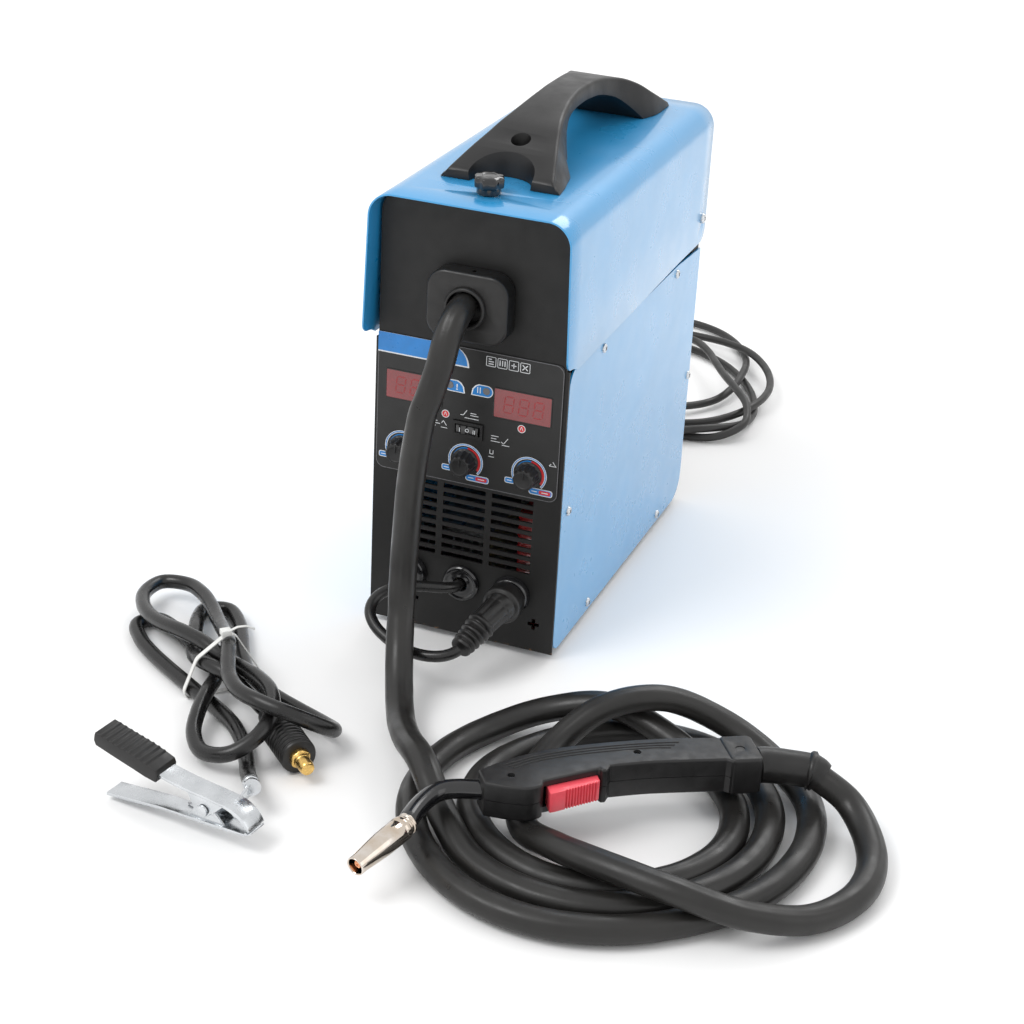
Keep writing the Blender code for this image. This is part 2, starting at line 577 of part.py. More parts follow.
def handle():
    base = TOP_Z / MM + 0.4
    verts = []
    for y, top, low, z in HANDLE_STATIONS:
        rise = z - base
        soft = min(2.2, 0.4 * rise)
        section = [(-low, base), (low, base), (low - 0.35 * (low - top), base + 0.35 * rise),
                   (top, z - soft), (top - 0.9 * soft, z - 0.25 * soft), (top - 2.4 * soft, z),
                   (-top + 2.4 * soft, z), (-top + 0.9 * soft, z - 0.25 * soft), (-top, z - soft),
                   (-low + 0.35 * (low - top), base + 0.35 * rise)]
        verts += [(x * MM, y * MM, zz * MM) for x, zz in section]
    n = 10
    count = len(HANDLE_STATIONS)
    faces = [tuple(range(n)), tuple(range((count - 1) * n, count * n))]
    for i in range(count - 1):
        for s in range(n):
            t = (s + 1) % n
            faces.append((i * n + s, i * n + t, (i + 1) * n + t, (i + 1) * n + s))
    body = add_mesh("carry_handle", verts, faces, black_plastic(), (0.0, PIVOT[0], PIVOT[1]))
    under = [(-37.0, 380.0), (-41.5, 392.0), (-43.0, 401.0), (-41.5, 409.0), (-36.0, 414.5),
             (-27.0, 418.0),
             (-12.0, 419.8), (21.0, 419.8), (45.0, 417.6), (62.0, 413.8), (77.0, 408.5),
             (92.0, 398.4),
             (107.0, 384.6), (107.0, 380.0)]
    combine(body, prism("cut_handle_arch", "X", [(y * MM, z * MM) for y, z in under], -0.07, 0.07,
                        black_plastic()))
    bay = [(0.0, 380 * MM), (25.0 * MM, 380 * MM), (29.5 * MM, 410 * MM), (0.0, 410 * MM)]
    combine(body, lathe("cut_handle_bay", "Z", (0.0, -134.5 * MM), bay, black_plastic(), 32))
    pocket = rod("cut_handle_hole", "Z", (0.0, -90.0 * MM), 8.0 * MM, 393 * MM, 425 * MM,
                 black_plastic(), 20)
    return combine(body, pocket)


def thumbscrew():
    def lobes(angle, radius, along):
        if radius > 11.0 * MM:
            return 1.0 - 0.075 * (0.5 - 0.5 * math.cos(8 * angle))
        return 1.0
    z = TOP_Z
    profile = [(0.0, z - 1.9 * MM), (3.0 * MM, z - 1.9 * MM), (3.0 * MM, z + 0.4 * MM),
               (9.8 * MM, z + 0.4 * MM),
               (9.8 * MM, z + 5.2 * MM), (12.4 * MM, z + 6.4 * MM),
               (12.4 * MM, z + 13.0 * MM), (11.2 * MM, z + 14.4 * MM), (0.0, z + 15.0 * MM)]
    return lathe("cover_thumbscrew", "Z", (0.0, -155 * MM), profile, black_plastic(), 32,
                 (0.0, -155 * MM, z), lobes)


def pivot_screw(name, sign):
    out = sign * (HALF_W + 0.4 * MM)
    profile = [(0.0, sign * 74 * MM), (2.2 * MM, sign * 74 * MM), (2.2 * MM, out), (4.6 * MM, out),
               (3.6 * MM, out + sign * 2.0 * MM), (0.0, out + sign * 2.8 * MM)]
    return lathe(name, "X", PIVOT, profile, zinc(), 16)


# ---- inside ------------------------------------------------------------------------------
def mid_shelf():
    return box("mid_shelf", (-78 * MM, -147 * MM, SHELF_Z), (78 * MM, 150.5 * MM, SHELF_Z + SHEET),
               galvanised())


def spool_wall():
    body = box("spool_wall", (30 * MM, -147 * MM, 163.6 * MM), (31.5 * MM, 150 * MM, 362 * MM),
               galvanised())
    corner = [(60 * MM, 364 * MM), (152 * MM, 320 * MM), (152 * MM, 364 * MM)]
    combine(body, prism("cut_wall_corner", "X", corner, 25 * MM, 35 * MM, galvanised()))
    holes = [rod("h", "X", (DRIVE_Y, 288 * MM), 5.5 * MM, 25 * MM, 35 * MM, galvanised(), 16)]
    return combine(body, joined("cut_wall_hole", holes, galvanised()))


def spool_parts():
    y, z = SPOOL_AXIS
    hub = [(0.0, -39 * MM), (15 * MM, -39 * MM), (31.5 * MM, -36.5 * MM), (31.5 * MM, -31.8 * MM),
           (24.4 * MM, -31.4 * MM),
           (24.4 * MM, 25.6 * MM), (30 * MM, 26.2 * MM), (30 * MM, 29.6 * MM), (0.0, 29.6 * MM)]
    lathe("spool_hub", "X", (y, z), hub, material("grey_nylon", (0.35, 0.35, 0.36), 0.5), 24)
    spool = [(25.2 * MM, -31.0 * MM), (99.0 * MM, -31.0 * MM), (99.0 * MM, -28.4 * MM),
             (49.5 * MM, -28.0 * MM),
             (49.5 * MM, 22.0 * MM), (99.0 * MM, 22.4 * MM), (99.0 * MM, 25.0 * MM),
             (25.2 * MM, 25.0 * MM)]
    lathe("wire_spool", "X", (y, z), spool, black_plastic(), 32, (-3 * MM, y, z))
    wire = [(50.0 * MM, -27.4 * MM), (86.0 * MM, -27.4 * MM), (88.0 * MM, -25.0 * MM),
            (88.0 * MM, 19.0 * MM),
            (86.0 * MM, 21.4 * MM), (50.0 * MM, 21.4 * MM)]
    copper = material("copper_wire", (0.72, 0.36, 0.20), 0.35, 1.0)
    lathe("welding_wire_coil", "X", (y, z), wire, copper, 32, (-3 * MM, y, z))


def feeder():
    y = DRIVE_Y
    plate = box("feed_block", (16 * MM, -150 * MM, 268 * MM), (29.6 * MM, -80 * MM, 350 * MM),
                material("grey_nylon", (0.35, 0.35, 0.36), 0.5), (0, 0, 0), 2 * MM)
    for a, b in ((-150, -136), (-94, -82)):
        arm = box("cut_feed_arm", (-7 * MM, a * MM, 296 * MM), (17 * MM, b * MM, 311 * MM),
                  black_plastic())
        combine(plate, arm, "UNION")
    stub = rod("cut_feed_stub", "X", (-143 * MM, 330 * MM), 3.0 * MM, 4.6 * MM, 18 * MM, zinc(), 16)
    combine(plate, stub, "UNION")
    holes = [rod("h", "Y", (WIRE_Z, 0.0), 1.6 * MM, -155 * MM, -78 * MM, zinc(), 12)]
    holes.append(rod("h", "X", (y, 288 * MM), 5.5 * MM, 12 * MM, 32 * MM, zinc(), 16))
    combine(plate, joined("cut_feed_holes", holes, zinc()))
    roll = [(0.0, -9 * MM), (4 * MM, -9 * MM), (6 * MM, -7 * MM), (15 * MM, -6 * MM),
            (15 * MM, -1.2 * MM), (14.2 * MM, 0.0),
            (15 * MM, 1.2 * MM), (15 * MM, 6 * MM), (4.2 * MM, 6.5 * MM), (4.2 * MM, 38 * MM),
            (0.0, 38 * MM)]
    lathe("drive_roll", "X", (y, 288 * MM), roll, zinc(), 24, (0.0, y, 288 * MM))
    idler = [(3.9 * MM, -5.5 * MM), (10.8 * MM, -5.5 * MM), (11.2 * MM, -4 * MM),
             (11.2 * MM, 4 * MM), (10.8 * MM, 5.5 * MM),
             (3.9 * MM, 5.5 * MM)]
    lathe("pressure_roll", "X", (y, 315.4 * MM), idler, zinc(), 24, (0.0, y, 315.4 * MM))
    outline = [(-149, 324), (-149, 336), (-143, 338), (-120, 329), (-100, 327), (-86, 327),
               (-86, 321),
               (-104, 317), (-110, 309), (-120, 309), (-126, 317), (-138, 323)]
    arm = prism("pressure_arm", "X", [(a * MM, b * MM) for a, b in outline], 6.6 * MM, 14.6 * MM,
                material("cast_alloy", (0.55, 0.56, 0.58), 0.4, 1.0), (0.0, -143 * MM, 330 * MM))
    combine(arm, rod("cut_arm_pin", "X", (-143 * MM, 330 * MM), 3.4 * MM, 0, 20 * MM, zinc(), 16))
    combine(arm, rod("cut_arm_axle", "X", (y, 315.4 * MM), 3.5 * MM, -7.5 * MM, 8 * MM, zinc(),
                     16), "UNION")
    slot = box("cut_arm_slot", (5 * MM, -95.5 * MM, 315 * MM), (10.8 * MM, -88.5 * MM, 332 * MM),
               zinc())
    combine(arm, slot)
    knob = [(0.0, 313 * MM), (2.2 * MM, 313 * MM), (2.2 * MM, 331 * MM), (6.5 * MM, 331 * MM),
            (6.5 * MM, 340 * MM),
            (8.0 * MM, 342 * MM), (8.0 * MM, 362 * MM), (6.5 * MM, 364 * MM), (0.0, 364.5 * MM)]
    lathe("tension_knob", "Z", (7.6 * MM, -92 * MM), knob, black_plastic(), 24,
          (7.6 * MM, -92 * MM, 313 * MM))
    motor = [(0.0, 32.2 * MM), (25 * MM, 32.2 * MM), (25 * MM, 46 * MM), (19 * MM, 47 * MM),
             (19 * MM, 75 * MM),
             (17 * MM, 77 * MM), (0.0, 77 * MM)]
    body = lathe("feed_motor", "X", (y, 288 * MM), motor, zinc(), 24)
    combine(body, rod("cut_motor_bore", "X", (y, 288 * MM), 4.7 * MM, 30 * MM, 40 * MM, zinc(), 16))


def power_parts():
    alloy = material("extruded_alloy", (0.7, 0.71, 0.72), 0.4, 1.0)
    x = -70.0
    teeth = [(-70.0, 66.0), (-70.0, 14.0)]
    for i in range(8):
        x = -70.0 + i * 8.0
        teeth += [(x + 2.4, 14.0), (x + 2.4, 58.0), (x + 8.0, 58.0), (x + 8.0, 14.0)]
    teeth += [(-3.6, 14.0), (-3.6, 66.0)]
    prism("heatsink", "Y", [(z * MM, a * MM) for a, z in teeth], -105 * MM, 70 * MM, alloy)
    red = material("red_winding", (0.45, 0.03, 0.03), 0.45)
    box("output_choke", (35 * MM, -150 * MM, 8.2 * MM), (60 * MM, -112 * MM, 116 * MM), red,
        (0, 0, 0), 3 * MM)
    tape = material("yellow_tape", (0.75, 0.55, 0.10), 0.5)
    box("main_transformer", (16 * MM, -70 * MM, 8.2 * MM), (68 * MM, 10 * MM, 74 * MM), tape,
        (0, 0, 0), 3 * MM)
    frame = box("fan_frame", (-46 * MM, 146.5 * MM, FAN_Z - 46 * MM),
                (46 * MM, 171.8 * MM, FAN_Z + 46 * MM), black_plastic(), (0, 0, 0), 3 * MM, 1)
    combine(frame, rod("cut_fan_bore", "Y", (FAN_Z, 0.0), 43.5 * MM, 140 * MM, 175 * MM,
                       black_plastic(), 28))
    bars = []
    for angle in (45, 135):
        t = math.radians(angle)
        dx = 44.5 * MM * math.cos(t)
        dz = 44.5 * MM * math.sin(t)
        nx = -2 * MM * math.sin(t)
        nz = 2 * MM * math.cos(t)
        bar = [(FAN_Z + dz + nz, dx + nx), (FAN_Z + dz - nz, dx - nx), (FAN_Z - dz - nz, -dx - nx),
               (FAN_Z - dz + nz, -dx + nx)]
        bars.append(prism("cut_fan_bar", "Y", bar, 146.8 * MM, 149.5 * MM, black_plastic()))
    for bar in bars:
        combine(frame, bar, "UNION")
    combine(frame, rod("cut_fan_seat", "Y", (FAN_Z, 0.0), 16 * MM, 146.8 * MM, 151.5 * MM,
                       black_plastic(), 24), "UNION")
    outline = []
    for i in range(7):
        t = 2 * math.pi * i / 7
        for r, turn in ((15.5, 0.0), (15.5, 0.28), (41.5, 0.40), (41.5, 0.46), (15.5, 0.44),
                        (15.5, 0.66)):
            outline.append((FAN_Z + r * MM * math.sin(t + turn), r * MM * math.cos(t + turn)))
    prism("fan_rotor", "Y", outline, 153 * MM, 168 * MM, black_plastic(), (0.0, 160 * MM, FAN_Z))


# ---- front panel fittings ----------------------------------------------------------------
def fascia():
    satin = material("satin_overlay", (0.035, 0.034, 0.034), 0.4)
    y1 = FRONT - 0.3 * MM
    outline = rounded(-80.5 * MM, 145 * MM, 79.0 * MM, 264 * MM, (8 * MM, 8 * MM, 5 * MM, 5 * MM),
                      4)
    body = prism("control_overlay", "Y", [(z, x) for x, z in outline], y1 - 0.6 * MM, y1, satin)
    holes = []
    for x in KNOB_X:
        holes.append(rod("h", "Y", (KNOB_Z, x), 4.4 * MM, y1 - 2 * MM, y1 + 2 * MM, satin, 16))
    holes.append(box("h", (-13.4 * MM, y1 - 2 * MM, 187.0 * MM),
                     (13.4 * MM, y1 + 2 * MM, 201.0 * MM), satin))
    return combine(body, joined("cut_overlay_holes", holes, satin))


def mode_switch():
    y = FRONT - 0.35 * MM
    body = box("mode_switch_body", (-13 * MM, y - 2.2 * MM, 187.4 * MM), (13 * MM, y, 200.6 * MM),
               black_plastic())
    combine(body, box("cut_mode_rear", (-11.9 * MM, y - 1 * MM, 189.2 * MM),
                      (11.9 * MM, -158 * MM, 198.8 * MM), black_plastic()), "UNION")
    combine(body, box("cut_mode_well", (-10.9 * MM, y - 4 * MM, 189.9 * MM),
                      (10.9 * MM, -166 * MM, 198.1 * MM), black_plastic()))
    spot = (0.0, -171 * MM, 194 * MM)
    rim = [(-9.4, -173.5), (-9.5, -179.4), (-6.0, -180.0), (0.0, -178.9), (6.0, -180.0),
           (9.5, -179.4),
           (9.4, -173.5), (6.0, -169.5), (-6.0, -169.5)]
    prism("mode_switch_rocker", "Z", [(a * MM, b * MM) for a, b in rim], 190.3 * MM, 197.7 * MM,
          material("gloss_black", (0.02, 0.02, 0.02), 0.25), spot)


def control_knob(name, x):
    def grooves(angle, radius, along):
        if radius > 9.0 * MM:
            return 1.0 - 0.05 * (0.5 - 0.5 * math.cos(7 * angle))
        return 1.0
    y = FRONT
    profile = [(0.0, y - 15.5 * MM), (8.6 * MM, y - 15.2 * MM), (9.4 * MM, y - 13.6 * MM),
               (10.2 * MM, y - 3.6 * MM),
               (11.3 * MM, y - 2.8 * MM), (11.3 * MM, y - 1.4 * MM), (3.1 * MM, y - 1.4 * MM),
               (3.1 * MM, y + 12 * MM), (0.0, y + 12 * MM)]
    return lathe(name, "Y", (KNOB_Z, x), profile, black_plastic(), 28, (x, y, KNOB_Z), grooves)


def gland_block():
    y1 = FRONT - 0.35 * MM
    outline = rounded(-33.5 * MM, 275 * MM, 35.0 * MM, 332 * MM, 16 * MM, 4)
    body = prism("torch_gland_block", "Y", [(z, x) for x, z in outline], y1 - 18 * MM, y1,
                 black_plastic())
    round_edges(body, 2.5 * MM, 1, 60)
    combine(body, ring("cut_gland_collar", "Y", (WIRE_Z, 0.0), 14.2 * MM, 17 * MM, y1 - 21 * MM,
                       y1 - 17 * MM, black_plastic(), 24), "UNION")
    well = rod("cut_gland_well", "Y", (WIRE_Z, 0.0), 14.2 * MM, y1 - 25 * MM, y1 - 7 * MM,
               black_plastic(), 24)
    return combine(body, well)


def socket(name, x):
    y1 = FRONT - 0.35 * MM
    profile = [(5.2 * MM, y1 - 7.6 * MM), (13.4 * MM, y1 - 7.6 * MM), (15.2 * MM, y1 - 6.4 * MM),
               (16.6 * MM, y1 - 1.0 * MM), (16.6 * MM, y1),
               (11.8 * MM, y1), (11.8 * MM, FRONT + 16 * MM), (5.2 * MM, FRONT + 16 * MM)]
    return lathe(name, "Y", (SOCKET_Z, x), profile, black_plastic(), 24)


def cable_grommet():
    y1 = FRONT - 0.35 * MM
    profile = [(5.8 * MM, y1 - 4.4 * MM), (12.5 * MM, y1 - 4.4 * MM), (15.6 * MM, y1 - 2.6 * MM),
               (15.8 * MM, y1), (10.4 * MM, y1),
               (10.4 * MM, FRONT + 8 * MM), (5.8 * MM, FRONT + 8 * MM)]
    return lathe("cable_grommet", "Y", (SOCKET_Z, 0.0), profile, black_rubber(), 24)


def polarity_parts():
    x = 44.5
    z = SOCKET_Z / MM
    path = [(x, -170.0, z), (x, -184.6, z), (x, -184.61, z), (x, -186.0, z), (x, -202.0, z),
            (x - 0.3, -204.0, z - 0.3),
            (x - 1.0, -207.5, z - 0.8), (x - 2.6, -214.0, z - 2.2), (x - 5.6, -223.0, z - 5.4),
            (x - 9.0, -232.0, z - 10.0),
            (x - 12.2, -240.5, z - 14.8), (x - 14.6, -249.5, z - 18.0)]
    radii = [4.7, 4.7, 12.5, 14.6, 14.8, 13.2, 12.0, 11.6, 11.2, 11.4, 10.8, 7.8]
    return sweep("polarity_plug", [Vector(p) * MM for p in path], [r * MM for r in radii],
                 black_rubber(), 18)


def rear_parts():
    y = REAR + 0.35 * MM
    body = box("power_switch_body", (27.5 * MM, y, 131.3 * MM),
               (52.5 * MM, y + 2 * MM, 161.7 * MM), black_plastic())
    combine(body, box("cut_power_rear", (30 * MM, 156 * MM, 133.3 * MM),
                      (50 * MM, y + 1 * MM, 159.7 * MM), black_plastic()), "UNION")
    combine(body, box("cut_power_well", (31.2 * MM, 163 * MM, 134.1 * MM),
                      (48.8 * MM, y + 5 * MM, 158.9 * MM), black_plastic()))
    rim = [(-10.9, 172.0), (-11.0, 177.4), (-7.0, 178.3), (0.0, 177.0), (7.0, 178.3),
           (11.0, 177.4), (10.9, 172.0),
           (7.0, 167.8), (-7.0, 167.8)]
    spot = (40 * MM, 170 * MM, 146.5 * MM)
    prism("power_switch_rocker", "X", [(b * MM, (a + 146.5) * MM) for a, b in rim], 31.7 * MM,
          48.3 * MM,
          material("gloss_black", (0.02, 0.02, 0.02), 0.25), spot)
    profile = [(4.4 * MM, 160 * MM), (7.2 * MM, 160 * MM), (7.2 * MM, y), (9.6 * MM, y),
               (9.6 * MM, y + 4 * MM),
               (7.4 * MM, y + 5 * MM), (6.2 * MM, y + 12.5 * MM), (4.4 * MM, y + 12.5 * MM)]
    lathe("mains_gland", "Y", (30 * MM, -62 * MM), profile, black_plastic(), 18)


# ---- torch -------------------------------------------------------------------------------
TORCH_AT = Vector((127.1, -438.2, 42.5)) * MM
TORCH_U = Vector((-0.82174, -0.56986, 0.0))  # along the handle, rear to front
TORCH_V = Vector((0.56986, -0.82174, 0.0))  # towards the trigger


def torch_point(u, v, w=0.0):
    return TORCH_AT + TORCH_U * (u * MM) + TORCH_V * (v * MM) + Vector((0, 0, w * MM))


def torch_prism(name, outline, low, high, paint, origin=(0.0, 0.0, 0.0)):
    count = len(outline)
    verts = [torch_point(u, v, low) for u, v in outline] + [torch_point(u, v, high) for u,
                                                            v in outline]
    faces = [tuple(range(count)), tuple(range(2 * count - 1, count - 1, -1))]
    for i in range(count):
        j = (i + 1) % count
        faces.append((i, j, count + j, count + i))
    return add_mesh(name, verts, faces, paint, origin)


def torch():
    far = [(4.0, -5.5), (-15.0, -14.0), (-40.0, -22.0), (-67.0, -26.0), (-97.0, -27.2),
           (-127.0, -26.6), (-155.0, -24.4),
           (-180.0, -20.6), (-205.0, -15.5)]
    near = [(-205.0, 14.0), (-181.0, 12.5), (-178.0, 9.5), (-150.0, 6.5), (-120.0, 4.0),
            (-92.0, 4.0), (-88.0, 9.5),
            (-84.0, 9.5), (-83.0, 6.0), (-39.0, 15.5), (-38.0, 20.0), (-25.0, 24.0), (3.0, 12.0)]
    body = torch_prism("torch_handle", far + near, -14.3, 14.3, black_plastic())
    round_edges(body, 4.2 * MM, 2, 60)
    slot = [(-82.6, 1.6), (-82.6, 30.0), (-39.5, 40.0), (-39.5, 7.4)]
    combine(body, torch_prism("cut_torch_slot", slot, -8.6, 8.6, black_plastic()))
    bore = sweep("cut_torch_bore", [torch_point(14, -2.6), torch_point(-15.2, 2.2)],
                 [7.8 * MM, 7.8 * MM], black_plastic(), 20)
    combine(body, bore)
    tail = sweep("cut_torch_tail", [torch_point(-210, -0.7), torch_point(-190, -0.7)],
                 [12.2 * MM, 12.2 * MM], black_plastic(), 24)
    combine(body, tail)
    trigger = [(-81.8, 5.2), (-81.8, 13.5), (-76.0, 16.0), (-62.0, 19.5), (-46.0, 23.8),
               (-42.4, 24.2), (-42.4, 11.8),
               (-60.0, 7.0)]
    red = material("red_trigger", (0.75, 0.05, 0.07), 0.4)
    torch_prism("torch_trigger", trigger, -8.1, 8.1, red, torch_point(-81.0, 6.0))
    neck = [(-14, 2.0, 0), (0, -0.3, 0), (12, -3.4, 0), (20, -5.0, -0.2), (28, -5.0, -0.4),
            (36, -2.0, -0.8), (44, 4.5, -1.4),
            (52, 13.5, -2.2), (58, 22.0, -3.0), (62.5, 28.5, -3.6)]
    radii = [7.2] * 8 + [7.0, 6.6]
    sweep("swan_neck", [torch_point(*p) for p in neck], [r * MM for r in radii],
          material("neck_sleeve", (0.02, 0.02, 0.02), 0.3), 16)
    base = torch_point(64.4, 30.8, -3.9)
    tip = torch_point(104.0, 64.0, -9.5)
    along = (tip - base).normalized()
    length = (tip - base).length
    radii = [8.6, 9.0, 9.0, 8.4, 7.0, 7.0]
    steps = [0.0, 0.02, 0.45, 0.6, 0.92, 1.0]
    nozzle = sweep("gas_nozzle", [base + along * (length * s) for s in steps],
                   [r * MM for r in radii],
                   material("nozzle_chrome", (0.72, 0.70, 0.68), 0.2, 1.0), 24)
    bore = sweep("cut_nozzle_bore", [tip + along * (4 * MM), tip - along * (length - 8 * MM)],
                 [5.8 * MM, 5.8 * MM], zinc(), 20)
    combine(nozzle, bore)
    boot_path = [(-191.5, -0.7, 0), (-205.9, -0.7, 0), (-206.0, -0.7, 0), (-208.0, -0.7, 0),
                 (-216, 0.9, 0),
                 (-226, 4.3, -0.4), (-238.0, 10.6, -1.3)]
    radii = [11.6, 11.6, 13.2, 13.4, 13.2, 12.8, 13.2]
    boot = sweep("torch_boot", [torch_point(*p) for p in boot_path], [r * MM for r in radii],
                 black_rubber(), 18)
    return boot


# ---- leads -------------------------------------------------------------------------------
EARTH_PLUG_REAR = Vector((-77.6, -374.1, 15.0))
EARTH_PLUG_AXIS = Vector((0.738, -0.675, 0.0))


def earth_plug():
    spots = [0.0, 1.0, 22.0, 24.0, 66.0, 66.01, 84.0]
    radii = [8.2, 9.0, 10.0, 14.2, 14.2, 6.4, 6.0]
    path = [(EARTH_PLUG_REAR + EARTH_PLUG_AXIS * s) * MM for s in spots]
    return sweep("earth_plug", path, [r * MM for r in radii], black_rubber(), 18)


CLAMP_AT = Vector((-52.0, -514.0, 24.0)) * MM
CLAMP_C = Vector((0.989, -0.146, 0.0))
CLAMP_N = Vector((0.146, 0.989, 0.0))


def clamp_prism(name, outline, low, high, paint):
    """Extrude an outline of (along the clamp, up) across it, both in millimetres."""
    verts = []
    for n in (low, high):
        for c, z in outline:
            verts.append(CLAMP_AT + CLAMP_C * (c * MM) + CLAMP_N * (n * MM) + Vector((0, 0,
                                                                                      z * MM)))
    count = len(outline)
    faces = [tuple(range(count)), tuple(range(2 * count - 1, count - 1, -1))]
    for i in range(count):
        j = (i + 1) % count
        faces.append((i, j, count + j, count + i))
    return add_mesh(name, verts, faces, paint, CLAMP_AT)


def clamp_rod(name, radius, low, high, paint, sides=20):
    path = [CLAMP_AT + CLAMP_N * (low * MM), CLAMP_AT + CLAMP_N * (high * MM)]
    return sweep(name, path, [radius * MM] * 2, paint, sides, CLAMP_AT)


def earth_clamp():
    upper = [(-94, 27), (-93, 30), (-40, 16), (-12, 12.5), (20, 10.5), (34, 5), (40.5, -3.5),
             (38.5, -4.5), (31.5, 3),
             (19, 8), (-12, 10), (-41, 13.5)]
    arm = clamp_prism("clamp_upper_arm", upper, -9, 9, zinc())
    for a, b in ((-9, -7.4), (7.4, 9)):
        lug = [(-14, 11), (-7, -3), (0, -5.5), (7, -3), (18, 9.5)]
        combine(arm, clamp_prism("cut_clamp_lug", lug, a, b, zinc()), "UNION")
    grip = [(-94.5, 22), (-96, 26), (-94.5, 33), (-60, 25.5), (-40, 19.5), (-38.5, 16), (-40, 9.5),
            (-60, 13.5)]
    cover_grip = clamp_prism("cut_clamp_grip", grip, -11.5, 11.5, black_plastic())
    combine(arm, cover_grip, "UNION")
    combine(arm, clamp_rod("cut_clamp_bore", 2.9, -14, 14, zinc()))
    lower = [(-88, -17.5), (-88, -20), (-40, -14), (-12, -12.5), (20, -10.5), (34, -9.0),
             (41.0, -6.0), (40, -4.9), (33, -7.2),
             (19, -8), (-12, -10), (-40, -11.5)]
    base = clamp_prism("clamp_lower_arm", lower, -8.6, 8.6, zinc())
    for a, b in ((-6.9, -5.3), (5.3, 6.9)):
        lug = [(-14, -11), (-7, 3), (0, 5.5), (7, 3), (18, -9.5)]
        combine(base, clamp_prism("cut_clamp_low_lug", lug, a, b, zinc()), "UNION")
    strip = [(5.6, -10), (12, -10), (39, -5), (39, 4), (32, 4), (14, -4), (5.6, -5)]
    verts = []
    for c in (9.0, 13.0):
        for n, z in strip:
            verts.append(CLAMP_AT + CLAMP_C * (c * MM) + CLAMP_N * (n * MM) + Vector((0, 0,
                                                                                      z * MM)))
    n = len(strip)
    faces = [tuple(range(n)), tuple(range(2 * n - 1, n - 1, -1))]
    faces += [(i, (i + 1) % n, n + (i + 1) % n, n + i) for i in range(n)]
    combine(base, add_mesh("cut_clamp_tongue", verts, faces, zinc(), CLAMP_AT), "UNION")
    end = Vector(EARTH_LEAD_ROUTE[0]) * MM
    way = (Vector(EARTH_LEAD_ROUTE[1]) * MM - end).normalized()
    crimp = sweep("cut_clamp_crimp", [end - way * (17 * MM), end - way * (0.6 * MM)],
                  [6.4 * MM] * 2, zinc(), 16)
    combine(base, crimp, "UNION")
    combine(base, clamp_rod("cut_clamp_low_bore", 2.9, -14, 14, zinc()))
    clamp_rod("clamp_pivot_pin", 2.5, -11.2, 11.2, zinc())
    outer = clamp_rod("clamp_spring", 5.0, -4.8, 4.8, zinc())
    combine(outer, clamp_rod("cut_spring_bore", 2.9, -14, 14, zinc()))


TIE_TURNS = [(-22.6, 7.0), (-4.3, 15.4), (2.3, 30.9), (6.3, 43.0), (23.9, 11.3), (-13.3, 29.3)]


def cable_tie():
    """A band pulled round the earth lead's hank: the hull of the turns where it passes."""
    middle = Vector((-138.0, -338.0, 0.0)) * MM
    across = Vector((0.675, 0.738, 0.0))
    along = Vector((0.738, -0.675, 0.0))
    sides = 30
    verts = []
    for gap, floor in ((7.9, 0.6), (9.0, 0.05)):
        for step in (-2.2, 2.2):
            for s in range(sides):
                t = 2 * math.pi * s / sides
                c, d = math.cos(t), math.sin(t)
                b, z = max(TIE_TURNS, key=lambda turn: turn[0] * c + turn[1] * d)
                b += gap * c
                z = max(floor, z + gap * d)
                verts.append(middle + across * (b * MM) + Vector((0, 0,
                                                                  z * MM)) + along * (step * MM))
    faces = []
    order = [0, 1, 3, 2]
    for k in range(4):
        a = order[k] * sides
        b = order[(k + 1) % 4] * sides
        for s in range(sides):
            t = (s + 1) % sides
            faces.append((a + s, a + t, b + t, b + s))
    return add_mesh("cable_tie", verts, faces, material("white_nylon", (0.8, 0.8, 0.78), 0.4))


def mains_plug():
    path = [(-98.0, 430.3, 12.0), (-97.8, 434.0, 12.3), (-97.0, 446.0, 14.0), (-96.5, 452.0, 15.4),
            (-95.5, 470.0, 16.5),
            (-95.2, 474.0, 16.8), (-95.0, 478.0, 17.0)]
    radii = [5.0, 6.0, 7.5, 14.5, 15.8, 15.0, 12.5]
    body = sweep("mains_plug", [Vector(p) * MM for p in path], [r * MM for r in radii],
                 black_rubber(), 18)
    for side in (-9.5, 9.5):
        pin = [Vector((-95.0 + side, 477.0, 17.0)) * MM, Vector((-94.8 + side, 496.0, 17.2)) * MM]
        combine(body, sweep("cut_plug_pin", pin, [2.4 * MM] * 2, brass(), 12), "UNION")
    return body


def build():
    clear_scene()
    foot("foot_front_left", -60 * MM, -145 * MM)
    foot("foot_front_right", 60 * MM, -145 * MM)
    foot("foot_rear_left", -60 * MM, 145 * MM)
    foot("foot_rear_right", 60 * MM, 145 * MM)
    base_tray()
    front_panel()
    rear_panel()
    side_panel("side_panel_left", -1)
    side_panel("side_panel_right", 1)
    cover()
    handle()
    thumbscrew()
    pivot_screw("pivot_screw_left", -1)
    pivot_screw("pivot_screw_right", 1)
    mid_shelf()
    spool_wall()
    spool_parts()
    feeder()
    power_parts()
    fascia()
    mode_switch()
    for name, x in zip(("wire_speed_knob", "voltage_knob", "inductance_knob"), KNOB_X):
        control_knob(name, x)
    gland_block()
    socket("socket_minus", -47.5 * MM)
    socket("socket_plus", 44.5 * MM)
    cable_grommet()
    polarity_parts()
    rear_parts()
    torch()
    earth_plug()
    earth_clamp()
    cable_tie()
    mains_plug()
    cord("torch_hose", TORCH_HOSE_ROUTE, HOSE_D, 130, black_rubber(), 2)
    cord("polarity_cable", POLARITY_ROUTE, POLARITY_D, 26, black_rubber(), 2)
    cord("earth_cable", EARTH_LEAD_ROUTE, EARTH_D, 116, black_rubber(), 2)
    cord("mains_cable", MAINS_LEAD_ROUTE, MAINS_D, 150, black_rubber(), 2)


build()
